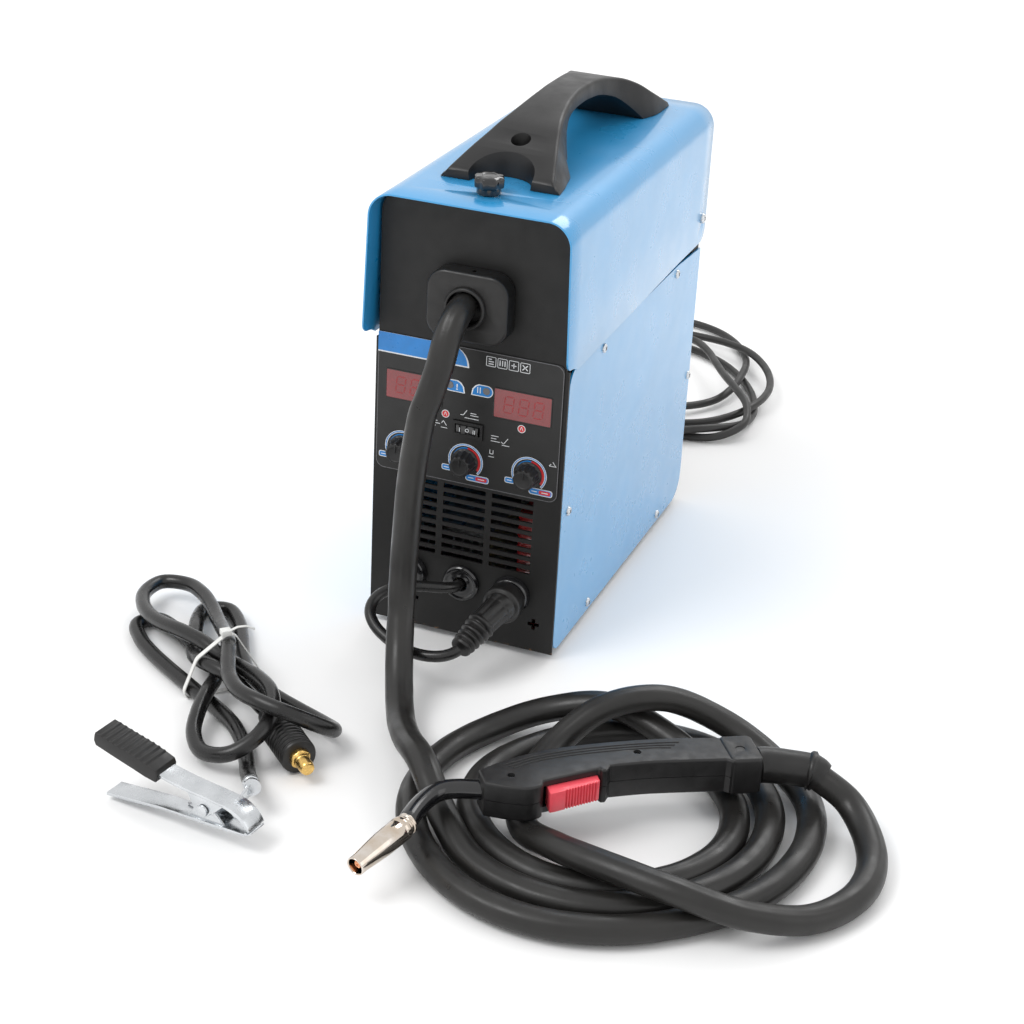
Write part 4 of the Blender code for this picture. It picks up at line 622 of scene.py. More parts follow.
def handle():
    base = TOP + 0.4
    rings = []
    for y, top, low, z in fine_stations(HANDLE, 4):
        rise = z - base
        soft = min(3.4, 0.45 * rise)
        side = [(low, base), (low - 0.12 * (low - top), base + 0.12 * rise),
                (low - 0.42 * (low - top), base + 0.38 * rise)]
        crown = [(top - soft + soft * math.cos(math.radians(q)), z - soft
            + soft * math.sin(math.radians(q))) for q in (0, 18, 36, 54, 72, 90)]
        crown = [(x, zz + 0.35 * min(1.0, rise / 30) * (1 - (x / top) ** 2)) for x, zz in crown]
        half = side + crown
        rings.append([(x, y, zz) for x, zz in half] + [(-x, y, zz) for x, zz in reversed(half)])
    under = curve2([(-36.5, 370.0), (-38.5, 383.0), (-41.5, 392.0), (-43.0, 401.0), (-41.5, 409.0),
        (-36.0, 414.5), (-27.0, 418.0), (-12.0, 419.8), (4.0, 420.0), (21.0, 419.8), (45.0, 417.6),
        (62.0, 413.8), (77.0, 408.5), (92.0, 398.4), (107.0, 384.0), (114.0, 372.0)], 2.5)
    bay = lathe((0, -134.5, 0), (0, 0, 1), [(0, 370), (25.0, 370), (25.0, 381), (29.5, 410), (0, 410)],
        72)
    hole = drill((0, -90, 0), (0, 0, 1), 8.0, 393, 425, 48)
    piece("handle_moulding", [loft(rings)], GRIPMAT, "cover", bevel=1.1, seg=3, angle=40,
        cut=[[slab(under, along_x, -70, 70)], [bay], [hole]], instead=("carry_handle",),
        slot="black_moulding", smooth=42)


handle()
piece("thumbscrew_head", [lathe((0, THUMBSCREW_Y, TOP), (0, 0, 1),
    [(0, -1.9), (3.0, -1.9), (3.0, 0.4), (9.4, 0.4), (9.8, 1.0), (9.8, 4.6), (10.6, 5.4), (12.2, 6.4),
    (12.4, 7.4), (12.4, 12.4), (11.8, 13.8), (10.6, 14.6), (6.0, 15.0), (5.2, 14.4), (0, 14.2)], 128, 0,
    flutes(8, 0.11, 10.0, 20.0))], GLOSS, "thumbscrew", bevel=0.25, slot="black_moulding",
    instead=("cover_thumbscrew",))


# ---- screws -------------------------------------------------------------------------------
def pan_head(at, out, r=4.0, h=2.3):
    dome = [(0, -0.6), (r, -0.6), (r, 0.5), (r * 0.97, h * 0.45), (r * 0.85, h * 0.75),
        (r * 0.6, h * 0.95), (0, h)]
    return lathe(at, out, dome, 32)


def cross_cut(at, out, r=2.3, d0=0.9, d1=4.0):
    u, v, w = basis(out)
    at = Vector(at)
    e = 0.55
    shape = [(-r, -e), (-e, -e), (-e, -r), (e, -r), (e, -e), (r, -e), (r, e), (e, e), (e, r), (-e, r),
        (-e, e), (-r, e)]
    c, s = math.cos(0.6), math.sin(0.6)
    return slab([(a * c - b * s, a * s + b * c) for a, b in shape], lambda a, b, h: at + u * a + v * b
        + w * h, d0, d1)


SIDE_SCREWS = ((-93.6, 250.7), (102.7, 251.6), (-157.6, 131.4), (168.0, 130.6), (-89.3, 14.2),
    (102.5, 14.2))
for sign, word in ((-1, "left"), (1, "right")):
    spots = [((sign * HALF_W, y, z), (sign, 0, 0)) for y, z in SIDE_SCREWS]
    piece("side_screws_" + word, [pan_head(*s) for s in spots], ZINC, "casing",
        cut=[[cross_cut(*s) for s in spots]], slot="zinc")
    at, out = (sign * 83.0, *PIVOT), (sign, 0, 0)
    shank = lathe(at, out, [(0, -9.0), (2.2, -9.0), (2.2, 0.3), (0, 0.3)], 24)
    piece("pivot_" + word, [pan_head(at, out, 4.6, 2.6), shank], ZINC, "casing",
        cut=[[cross_cut(at, out, 2.6, 1.1)]], slot="zinc", instead=("pivot_screw_" + word,))

# ---- control panel ------------------------------------------------------------------------
FACE = -176.9
FRONT = -176.0
KNOBS = (("speed_knob", "wire_speed_knob", -57.0), ("volt_knob", "voltage_knob", -1.0),
         ("choke_knob", "inductance_knob", 54.0))
KNOB_Z, WIRE_Z, SOCKET_Z = 166.0, 303.5, 55.0
BEDDED = -0.05


def decal(name, layers, mats, **more):
    """Printed areas, each (outline, height above the film, material index)."""
    piece(name, [slab(o, fascia, BEDDED, h, m) for o, h, m in layers], mats, "casing",
        slot="satin_overlay", **more)


edge = rounded(-80.1, 145.4, 78.6, 263.6, 7.4, 10)
piece("overlay_border", [band(edge, offset(edge, 0.45), fascia, BEDDED, 0.05)], INK_G, "casing",
    slot="satin_overlay")
strip = [(-80.3, 247.0), (-1.3, 247.0)] + arc(-18.5, 247.0, 17.2, 0, 90, 20)[1:] + [(-80.3, 264.2)]
inner = [(-80.3, 248.1), (-2.6, 248.1)] + arc(-18.9, 248.1, 16.0, 4, 90, 20) + [(-80.3, 264.1)]
decal("title_band", [(strip, 0.08, 0), (inner, 0.14, 1)], [INK_W, INK_B])


def digit(x, z, w, h):
    """The seven unlit bars of one digit."""
    t, g, lean = 1.1, 0.35, 0.10
    bars = []
    for k in (0, 1, 2):
        zz = z + k * h / 2
        bars.append([(x + g, zz), (x + g + t, zz + t / 2), (x + w - g - t, zz + t / 2), (x + w - g, zz),
                     (x + w - g - t, zz - t / 2), (x + g + t, zz - t / 2)])
    for k in (0, 1):
        for xx in (x, x + w):
            a, b = z + k * h / 2 + g, z + (k + 1) * h / 2 - g
            bars.append([(xx, a), (xx + t / 2, a + t), (xx + t / 2, b - t), (xx, b), (xx - t / 2, b - t),
                         (xx - t / 2, a + t)])
    return [([(a + (b - z) * lean, b) for a, b in bar], 0.26, 1) for bar in bars]


for name, (x0, z0, x1, z1) in (("display_right", (21.4, 210.3, 69.6, 234.6)),
        ("display_left", (-72.2, 209.0, -24.0, 233.0))):
    inside = [(rounded(x0, z0, x1, z1, 0.8, 3), 0.2, 0)]
    for k in range(3):
        inside += digit(x0 + 8.0 + k * 12.6, z0 + 5.2, 7.6, 13.8)
    decal(name, inside, [LENS, SEGMENT])
    ring = rounded(x0 - 1.0, z0 - 1.0, x1 + 1.0, z1 + 1.0, 1.4, 4)
    piece(name + "_frame", [band(ring, offset(ring, 1.0), fascia, BEDDED, 0.45)], FILM, "casing",
        bevel=0.15, slot="satin_overlay")


def teardrop(x0, x1, z0, z1, inset=0.0):
    """A label with a round end at x0 and a point low at x1."""
    x0, z0, z1 = x0 + math.copysign(inset, x1 - x0), z0 + inset, z1 - inset
    x1 -= math.copysign(inset * 1.6, x1 - x0)
    r = (z1 - z0) / 2
    s = 1 if x1 > x0 else -1
    round_end = [(x0 + s * (r - r * math.sin(math.radians(a))), z0 + r + r * math.cos(math.radians(a)))
                 for a in range(0, 181, 15)]
    neck = [(x1, z0), (x1 - s * 1.0, z0 + r * 1.1), (x1 - s * 3.4, z0 + 1.7 * r), (x1 - s * 6.2, z1)]
    return round_end + neck


for side, span, lamp, signs in (
        ("left", (-22.4, -4.0, 224.6, 234.8), (-17.0, 230.0),
         [rounded(-11.4, 228.4, -10.4, 231.6, 0.3, 2), arc(-10.9, 227.2, 0.7, 0, 330, 11)]),
        ("right", (20.0, 1.2, 224.8, 235.0), (14.4, 230.2),
         [rounded(6.4, 227.4, 7.2, 232.6, 0.3, 2), rounded(8.6, 227.4, 9.4, 232.6, 0.3, 2)])):
    decal("lamp_label_" + side, [(teardrop(*span), 0.08, 0), (teardrop(*span, 0.7), 0.13, 1),
        (arc(*lamp, 3.0, 0, 345, 23), 0.5, 2), *((sign, 0.17, 0) for sign in signs)],
        [INK_W, INK_B, NYLON])
badges = []
for x in (-20.0, 45.6):
    badges += [(arc(x, 204.0, 3.4, 0, 350, 35), 0.08, 0), (arc(x, 204.0, 2.8, 0, 350, 35), 0.12, 1)]
    badges += [([(x - 1.5, 202.6), (x - 1.0, 202.6), (x + 0.2, 205.8), (x - 0.3, 205.8)], 0.16, 0),
               ([(x + 1.5, 202.6), (x + 1.0, 202.6), (x - 0.2, 205.8), (x + 0.3, 205.8)], 0.16, 0)]
decal("unit_badges", badges, [INK_W, INK_R])


def stroke(x0, z0, x1, z1, t=0.5):
    d = Vector((x1 - x0, z1 - z0)).normalized()
    n = Vector((-d.y, d.x)) * (t / 2)
    return [(x0 + n.x, z0 + n.y), (x0 - n.x, z0 - n.y), (x1 - n.x, z1 - n.y), (x1 + n.x, z1 + n.y)]


MARKS = [
    # small generic signs: a torch stroke, a two-line note, an electrode, and lift and scratch strokes
    (-4.6, 206.0, -1.6, 210.6), (-4.6, 206.0, -7.0, 206.0), (1.5, 206.8, 8.4, 206.8),
    (1.5, 208.6, 6.6, 208.6),
    (-3.4, 204.0, 8.6, 204.0), (-31.6, 196.6, -26.8, 196.6), (-31.6, 194.4, -24.4, 194.4),
    (-31.6, 192.2, -28.2, 192.2),
    (-21.6, 197.6, -18.8, 193.8), (-21.6, 197.6, -23.2, 195.2), (-23.6, 191.6, -18.0, 191.6),
    (20.0, 193.2, 26.4, 193.2), (20.0, 190.9, 24.6, 190.9), (20.0, 188.6, 27.6, 188.6),
    (31.0, 187.8, 34.6, 193.0),
    (31.0, 187.8, 28.8, 189.2), (29.6, 186.6, 36.0, 186.6),
    (19.6, 180.6, 19.6, 177.2), (22.4, 180.6, 22.4, 177.2), (19.6, 177.2, 22.4, 177.2),
    (18.6, 174.6, 23.4, 174.6),
    (73.6, 181.0, 76.4, 177.2), (70.6, 177.2, 76.8, 177.2), (70.6, 177.2, 72.2, 179.0),
    (-36.4, 181.4, -32.6, 181.4), (-34.5, 183.0, -34.5, 178.2),
]
decal("panel_marks", [(stroke(*m), 0.06, 0) for m in MARKS], INK_W)
icons = []
for k in range(4):
    x0 = 12.9 + k * 9.6
    ring = rounded(x0, 252.0, x0 + 8.4, 260.4, 1.0, 4)
    icons.append(band(ring, offset(ring, 0.5), fascia, BEDDED, 0.06))
glyphs = [(14.9, 254.2, 19.3, 254.2), (14.9, 256.2, 19.3, 256.2), (14.9, 258.2, 17.6, 258.2),
    (24.6, 254.0, 24.6, 258.6), (26.7, 254.0, 26.7, 258.6), (28.8, 254.0, 28.8, 258.6),
    (34.2, 256.2, 38.4, 256.2), (36.3, 254.1, 36.3, 258.3), (43.6, 254.2, 48.0, 258.4),
    (43.6, 258.4, 48.0, 254.2)]
icons += [slab(stroke(*g, t=0.8), fascia, BEDDED, 0.06) for g in glyphs]
piece("panel_icons", icons, INK_W, "casing", slot="satin_overlay")

for body_name, node, x in KNOBS:
    z = KNOB_Z
    layers = [(sector(x, z, 13.3, 15.2, -42, 208), 0.06, 0),
        (sector(x, z, 13.9, 14.7, -40, 206), 0.12, 1)]
    growing = [(x + r * math.cos(math.radians(a)), z + r * math.sin(math.radians(a)))
               for a, r in [(200 - 6.5 * i, 10.9 + 0.35 + 2.0 * i / 36) for i in range(37)]]
    layers.append((growing[:19] + arc(x, z, 10.9, 200 - 6.5 * 18, 200, 18), 0.07, 1))
    layers.append((growing[18:] + arc(x, z, 10.9, -34, 200 - 6.5 * 18, 18), 0.07, 2))
    tab = rounded(x - 20.6, z - 11.2, x - 12.2, z - 6.0, 1.6, 4)
    layers += [(tab, 0.08, 0), (offset(tab, 0.6), 0.13, 1)]
    foot = rounded(x + 0.5, z - 16.6, x + 20.8, z - 10.8, 2.2, 4)
    layers += [(foot, 0.08, 0), (offset(foot, 0.6), 0.13, 1),
               (rounded(x + 9.2, z - 15.4, x + 19.2, z - 12.0, 1.4, 4), 0.17, 2)]
    layers += [(stroke(x - 18.6, z - 8.6, x - 14.4, z - 8.6, 0.7), 0.17, 0),
               (stroke(x + 3.0, z - 13.7, x + 7.6, z - 13.7, 0.7), 0.2, 0),
               (stroke(x + 11.4, z - 13.7, x + 17.0, z - 13.7, 0.7), 0.24, 0)]
    decal("dial_" + body_name, layers, [INK_W, INK_B, INK_R])
    turned = lathe((x, FRONT, z), (0, -1, 0), [(0, -12), (3.1, -12), (3.1, 1.4), (11.0, 1.4), (11.3,
        1.8), (11.3, 2.6), (10.4, 3.4), (10.2, 4.2), (9.5, 13.2), (9.1, 14.5), (8.2, 15.3), (6.6, 15.5),
        (6.2, 15.1), (0, 15.0)], 168, 0, flutes(12, 0.10, 8.6, 10.8))
    fin = slab(stroke(x, z + 1.0, x, z + 8.2, 1.1), lambda a, b, h: (a, FRONT - h, b), 14.6, 15.9)
    piece(body_name + "_cap", [turned, fin], MOULD, body_name, bevel=0.12, slot="black_moulding",
          instead=(node,), smooth=34)

# rocker switch and its marks
curve = [(-9.4, -173.5), (-9.6, -179.2)] + curve2([(-9.3, -179.7), (-6.0, -180.0), (0.0, -178.9),
    (6.0, -180.0), (9.3, -179.7)], 0.8) + [(9.6, -179.2), (9.4, -173.5), (6.0, -169.5), (-6.0, -169.5)]
piece("mode_rocker_cap", [slab(curve, along_z, 190.3, 197.7)], GLOSS, "mode_rocker", bevel=0.3,
    slot="gloss_black", instead=("mode_switch_rocker",))


def on_rocker(a, b, h):
    """A spot on the rocker's hollow front."""
    return a, -178.95 - 1.05 * math.sin(min(1.0, abs(a) / 6.0) * math.pi / 2) - h, b


circle = arc(0, 194.0, 1.6, 0, 345, 23)
piece("mode_rocker_marks", [band(circle, offset(circle, 0.45), on_rocker, -0.3, 0.08),
    slab(stroke(-6.2, 192.3, -6.2, 195.7, 0.6), on_rocker, -0.3, 0.08),
    slab(stroke(5.6, 192.3, 5.6, 195.7, 0.5), on_rocker, -0.3, 0.08),
    slab(stroke(6.9, 192.3, 6.9, 195.7, 0.5), on_rocker, -0.3, 0.08)], INK_W, "mode_rocker",
    slot="white_nylon")

# ---- front fittings -----------------------------------------------------------------------
GY = -176.35
block = slab(rounded(-33.5, 275, 35.0, 332, 16, 12), lambda a, b, h: (a, GY - h, b), 0, 18)
collar = lathe((0, GY, WIRE_Z), (0, -1, 0), [(14.2, 8), (14.2, 20.4), (14.8, 21.0), (16.2, 21.0),
    (17.0, 20.0), (17.4, 17.0), (17.4, 10.0)], 72)
piece("gland_block", [block], RUBBER, "casing", pre=(3.0, 5), bevel=0.4,
    cut=[[drill((0, GY, WIRE_Z), (0, -1, 0), 14.2, 7, 30, 64)]], slot="black_moulding",
    instead=("torch_gland_block",))
piece("gland_collar", [collar], RUBBER, "casing", bevel=0.3, slot="black_moulding")
piece("gland_rivet", [lathe((3.0, -186.0, 331.6), (0, 0, 1),
    [(0, -1), (2.3, -1), (2.3, 0.2), (1.7, 0.4), (0, 0.4)], 24)], BRASS, "casing", slot="zinc")


def socket(name, x, node):
    ring = lathe((x, GY, SOCKET_Z), (0, -1, 0), [(6.6, -16), (6.6, 6.8), (7.2, 7.6), (12.4, 7.6), (13.4,
        7.0), (14.6, 6.6), (15.4, 5.6), (16.4, 1.6), (16.6, 0.0), (11.8, 0.0), (11.8, -16)], 80)
    piece(name, [ring], GLOSS, "casing", bevel=0.2, slot="black_moulding", instead=(node,))
    liner = lathe((x, GY, SOCKET_Z), (0, -1, 0), [(0, -15.5), (6.5, -15.5), (6.5, 1.0), (6.2, 1.6),
        (5.2, 1.6), (5.0, 1.0), (5.0, -12), (0, -12)], 48)
    piece(name + "_insert", [liner], BRASS, "casing", bevel=0.15, slot="zinc")


socket("minus_socket", -47.5, "socket_minus")
socket("plus_socket", 44.5, "socket_plus")
piece("grommet_ring", [lathe((0, GY, SOCKET_Z), (0, -1, 0),
    [(5.6, -8), (5.6, 3.4), (6.6, 4.2), (8.6, 3.2), (11.8, 3.2), (13.0, 4.6), (14.6, 4.4), (15.8, 3.0),
    (16.0, 0.0), (10.4, 0.0), (10.4, -8)], 80)], GLOSS, "casing", bevel=0.2, slot="rubber",
    instead=("cable_grommet",))


def radius_at(table, s):
    for (a, ra), (b, rb) in zip(table[:-1], table[1:]):
        if s <= b:
            return ra + (rb - ra) * max(0.0, (s - a) / (b - a))
    return table[-1][1]


def run_of(points):
    out = [0.0]
    for a, b in zip(points[:-1], points[1:]):
        out.append(out[-1] + (Vector(b) - Vector(a)).length)
    return out


def shaped_tube(route, step, table, sides=48, ribs=None, flats=None):
    """A tube with radii by distance.
    ribs = (start, end, pitch, depth), flats = (start, end, count, depth)."""
    line = smooth_line(route, step)[0]
    run = run_of(line)
    radii = [radius_at(table, s) for s in run]
    if ribs:
        a, b, pitch, depth = ribs
        radii = [r * (1 - depth * (0.5 - 0.5 * math.cos(TAU * (s - a) / pitch)) ** 2) if a <= s <= b else r
                 for r, s in zip(radii, run)]

    def shape(i, q, d, t):
        if flats and flats[0] <= run[i] <= flats[1]:
            fade = min(1.0, (run[i] - flats[0]) / 2.0, (flats[1] - run[i]) / 2.0)
            return 1 - flats[3] * fade * (0.5 + 0.5 * math.cos(flats[2] * q)) ** 3
        return 1.0
    return tube(line, radii, sides, 0, shape)


PLUS = 44.5
plug_route = [(PLUS, -186.0, 55.0), (PLUS, -202.0, 55.0), (PLUS - 1.0, -207.5, 54.2),
    (PLUS - 2.6, -214.0, 52.8), (PLUS - 5.6, -223.0, 49.6), (PLUS - 9.0, -232.0, 45.0),
    (PLUS - 12.2, -240.5, 40.2), (PLUS - 14.6, -249.5, 37.0)]
plug_body = shaped_tube(plug_route, 0.7, [(0, 13.0), (1.0, 15.6), (2.2, 16.2), (13.5, 16.2),
    (15.0, 15.4), (16.0, 13.4), (22, 12.2), (40, 11.2), (41, 12.2), (46, 12.0), (66, 9.6), (72, 7.8)],
    64, ribs=(42, 72, 5.2, 0.20), flats=(17, 40, 8, 0.13))
piece("plus_plug", [plug_body, drill((PLUS, -171, 55), (0, -1, 0), 4.9, 0, 16, 32)], RUBBER, "casing",
    bevel=0.2, angle=50, slot="rubber", instead=("polarity_plug",), smooth=35)


POLARITY_ROUTE = [
    (0.0, -178.0, 55.0), (-1.5, -186.0, 55.2), (-8.0, -194.0, 56.5), (-20.0, -201.0, 58.0),
    (-34.0, -208.0, 58.5), (-47.0, -217.0, 56.5), (-54.5, -228.0, 52.0), (-54.0, -240.0, 46.0),
    (-45.0, -250.0, 40.0), (-31.0, -257.5, 35.5), (-15.0, -262.5, 32.5), (2.0, -264.0, 31.5),
    (16.0, -262.0, 32.5), (25.0, -257.5, 34.6), (29.5, -252.3, 36.6),
]
TORCH_HOSE_ROUTE = [
    (-1.0, -191.5, 306.2), (-1.5, -200.0, 304.0), (-2.8, -210.0, 297.4), (-4.6, -218.6, 284.8),
    (-6.6, -226.0, 265.0), (-10.5, -234.5, 243.0), (-14.6, -240.1, 224.1), (-18.7, -245.8, 174.7),
    (-20.0, -250.3, 125.0), (-17.9, -259.7, 76.2), (-6.4, -287.1, 36.9), (13.1, -328.2, 17.6),
    (37.4, -370.9, 24.1), (67.2, -409.7, 32.5), (99.0, -446.0, 19.5), (135.0, -479.0, 11.3),
    (181.2, -496.8, 11.1), (230.5, -493.4, 11.1), (273.7, -469.1, 11.1), (304.3, -430.0, 11.1),
    (318.1, -382.4, 11.1), (312.6, -333.1, 11.1), (287.0, -290.9, 11.1), (244.8, -265.1, 11.3),
    (195.4, -263.6, 10.5), (151.9, -287.1, 10.5), (120.1, -325.4, 11.3), (103.2, -371.9, 11.1),
    (111.7, -420.5, 11.1), (143.4, -458.1, 11.4), (189.7, -475.3, 10.6), (238.2, -466.2, 10.5),
    (276.4, -434.6, 11.3), (294.4, -388.8, 11.1), (287.3, -340.0, 11.1), (256.5, -301.6, 13.1),
    (213.2, -280.1, 24.3), (164.9, -272.6, 32.5), (117.9, -282.7, 21.6), (82.0, -315.1, 11.8),
    (64.0, -361.2, 10.7), (63.2, -410.8, 10.6), (80.6, -457.3, 11.2), (112.6, -495.3, 11.1),
    (155.5, -520.3, 11.1), (204.7, -526.5, 11.1), (252.5, -513.3, 11.2), (292.9, -484.3, 10.6),
    (324.9, -446.1, 10.6), (343.9, -400.3, 11.2), (347.4, -350.8, 11.1), (333.0, -303.4, 11.1),
    (298.1, -269.2, 16.7), (253.0, -256.5, 31.9), (208.5, -270.5, 49.1), (168.5, -298.8, 45.5),
    (142.4, -335.6, 24.4), (138.1, -383.2, 12.2), (156.0, -429.2, 13.2), (191.8, -460.1, 26.9),
    (237.8, -477.6, 34.1), (287.2, -484.1, 33.5), (334.4, -474.0, 22.5), (373.1, -444.9, 12.2),
    (395.9, -401.2, 11.1), (393.4, -352.0, 12.2), (367.1, -312.2, 23.2), (334.4, -309.0, 41.5),
]
EARTH_LEAD_ROUTE = [
    (-42.6, -470.5, 19.8), (-55.7, -450.0, 11.0), (-68.6, -427.9, 7.6), (-83.1, -406.5, 7.1),
    (-100.9, -387.8, 7.1), (-122.0, -372.8, 6.8), (-144.5, -359.9, 6.8), (-166.9, -347.0, 7.3),
    (-189.2, -333.9, 7.4), (-211.0, -319.9, 7.5), (-231.2, -303.7, 7.4), (-246.3, -283.0, 7.3),
    (-234.2, -268.1, 7.2), (-210.3, -277.8, 7.1), (-188.4, -291.5, 6.9), (-167.6, -306.9, 8.4),
    (-150.0, -325.4, 12.1), (-138.5, -347.9, 17.0), (-132.0, -372.8, 20.0), (-126.1, -397.8, 17.3),
    (-116.8, -421.6, 13.4), (-99.0, -439.7, 12.5), (-75.0, -441.5, 18.8), (-60.3, -423.9, 28.9),
    (-61.7, -399.5, 35.8), (-74.1, -377.1, 37.8), (-92.8, -359.5, 35.4), (-114.5, -345.9, 31.8),
    (-138.2, -335.7, 30.9), (-161.9, -325.8, 34.2), (-186.0, -316.4, 33.1), (-208.9, -305.2, 28.4),
    (-229.7, -290.5, 24.0), (-247.0, -271.6, 20.6), (-258.4, -248.7, 18.1), (-256.1, -223.9, 16.8),
    (-232.4, -221.2, 18.8), (-210.7, -234.9, 21.4), (-192.6, -253.3, 23.0), (-176.3, -273.3, 25.1),
    (-160.8, -293.4, 29.9), (-146.3, -313.6, 37.1), (-133.1, -335.0, 43.5), (-121.3, -358.0, 44.3),
    (-108.0, -380.1, 44.2), (-89.8, -398.3, 46.0), (-66.2, -408.3, 47.4), (-41.2, -406.9, 42.7),
    (-22.7, -394.4, 30.6), (-21.4, -374.3, 16.5), (-40.5, -358.8, 10.2), (-64.5, -349.2, 9.5),
    (-88.9, -340.6, 10.5), (-111.8, -328.7, 11.3), (-130.6, -311.1, 11.1), (-144.9, -289.5, 10.1),
    (-157.5, -266.9, 9.0), (-171.4, -245.1, 8.1), (-190.1, -227.5, 7.3), (-207.6, -236.1, 7.8),
    (-201.3, -260.4, 13.2), (-190.8, -283.5, 18.8), (-179.8, -306.8, 20.4), (-167.1, -329.3, 22.1),
    (-149.2, -346.4, 29.0), (-125.5, -355.7, 29.9), (-102.0, -360.7, 20.0), (-79.9, -372.0, 15.0),
]
MAINS_LEAD_ROUTE = [
    (-61.9, 188.8, 30.7), (-60.3, 223.2, 21.0), (-47.9, 255.0, 11.0), (-21.2, 277.7, 6.0),
    (12.0, 291.1, 7.4), (45.2, 303.7, 12.6), (74.6, 323.7, 13.5), (92.6, 353.9, 8.6),
    (95.3, 389.3, 5.2), (87.7, 424.2, 5.0), (73.7, 457.2, 4.6), (54.2, 487.2, 4.5),
    (29.3, 513.0, 5.1), (-0.6, 532.6, 5.3), (-34.2, 544.7, 5.3), (-69.8, 547.8, 5.3),
    (-104.9, 541.2, 5.3), (-136.6, 524.7, 5.3), (-160.9, 498.6, 5.3), (-174.9, 465.8, 5.3),
    (-177.0, 430.2, 5.3), (-167.1, 396.0, 4.8), (-145.9, 367.4, 4.7), (-116.0, 347.9, 4.8),
    (-82.0, 336.4, 5.1), (-46.8, 329.8, 5.0), (-11.1, 327.4, 5.0), (24.4, 331.6, 5.5),
    (57.0, 346.0, 7.5), (82.0, 371.1, 11.2), (95.8, 403.8, 14.1), (98.1, 439.4, 14.6),
    (90.4, 474.3, 14.8), (74.6, 506.4, 15.4), (51.6, 533.8, 16.0), (22.7, 554.7, 13.6),
    (-10.1, 568.7, 10.2), (-45.3, 575.0, 8.0), (-80.9, 573.2, 7.0), (-115.1, 562.7, 6.7),
    (-145.5, 543.9, 6.7), (-170.0, 517.9, 6.8), (-186.2, 486.1, 6.8), (-192.4, 450.9, 7.3),
    (-186.3, 415.8, 9.1), (-167.8, 385.5, 12.4), (-139.3, 364.3, 13.3), (-105.5, 352.9, 10.0),
    (-70.1, 348.5, 7.7), (-34.3, 349.3, 9.4), (0.6, 356.9, 10.4), (30.8, 375.7, 9.1),
    (50.4, 405.4, 8.3), (58.7, 440.0, 10.6), (59.0, 475.7, 13.5), (53.7, 511.1, 10.7),
    (42.9, 545.0, 6.4), (25.5, 576.2, 5.4), (0.2, 601.4, 5.4), (-31.9, 616.9, 5.2),
    (-67.3, 620.9, 5.0), (-102.0, 612.7, 5.8), (-131.8, 593.2, 8.5), (-150.7, 563.6, 13.1),
    (-146.1, 530.1, 18.6), (-113.9, 518.4, 21.4), (-78.8, 525.3, 21.8), (-43.6, 531.6, 22.3),
    (-10.0, 521.4, 23.7), (13.7, 494.8, 25.0), (31.9, 463.9, 25.8), (50.6, 433.4, 26.1),
    (71.8, 404.5, 25.5), (91.8, 375.0, 22.4), (98.5, 341.6, 14.8), (75.9, 316.8, 6.1),
    (41.1, 308.9, 4.6), (5.5, 310.8, 7.8), (-29.0, 319.7, 11.7), (-60.6, 335.8, 15.8),
    (-85.9, 360.9, 16.3), (-99.3, 393.7, 13.8), (-97.7, 429.2, 11.7),
]


def lead(name, node, route, d, mat, step=4.0, sides=20,
        shape=None):
    line, length = smooth_line(route, step)
    obj = piece(name, [tube(line, d / 2, sides, 0, shape(line) if shape else None)], mat, "casing",
        slot="rubber", instead=(node,), smooth=60)
    return obj


def sleeve_shape(line):
    """The torch sleeve is a soft tube: flattened a little, with a crease and slow dents."""
    run = run_of(line)

    def shape(i, q, d, t):
        s = run[i]
        wide = 1.0 + 0.13 * (d.x * d.x + d.y * d.y) - 0.03
        crease = -0.075 * math.exp(-((q - 1.9 - 0.5 * math.sin(s / 260)) / 0.22) ** 2)
        crease -= 0.045 * math.exp(-((q - 4.6 + 0.6 * math.sin(s / 190)) / 0.18) ** 2)
        dent = 0.03 * noise.noise(Vector((s / 55, q, 0.3))) + 0.012 * noise.noise(Vector((s / 14, 2 * q,
            4.0)))
        kink = -0.10 * math.exp(-((s - 262) / 9) ** 2) * abs(math.sin(q))
        end = min(1.0, s / 12)
        return 1.0 + (wide - 1.0 + crease + dent + kink) * end
    return shape


# ---- torch --------------------------------------------------------------------------------
SCREW_SPOTS = ((-18.0, 5.6), (-116.0, -10.0))  # along and across the torch
TORCH_AT = Vector((127.1, -438.2, 42.5))
TU, TV = Vector((-0.82174, -0.56986, 0.0)), Vector((0.56986, -0.82174, 0.0))


def torch_at(u, v, w=0.0):
    return TORCH_AT + TU * u + TV * v + Vector((0, 0, w))


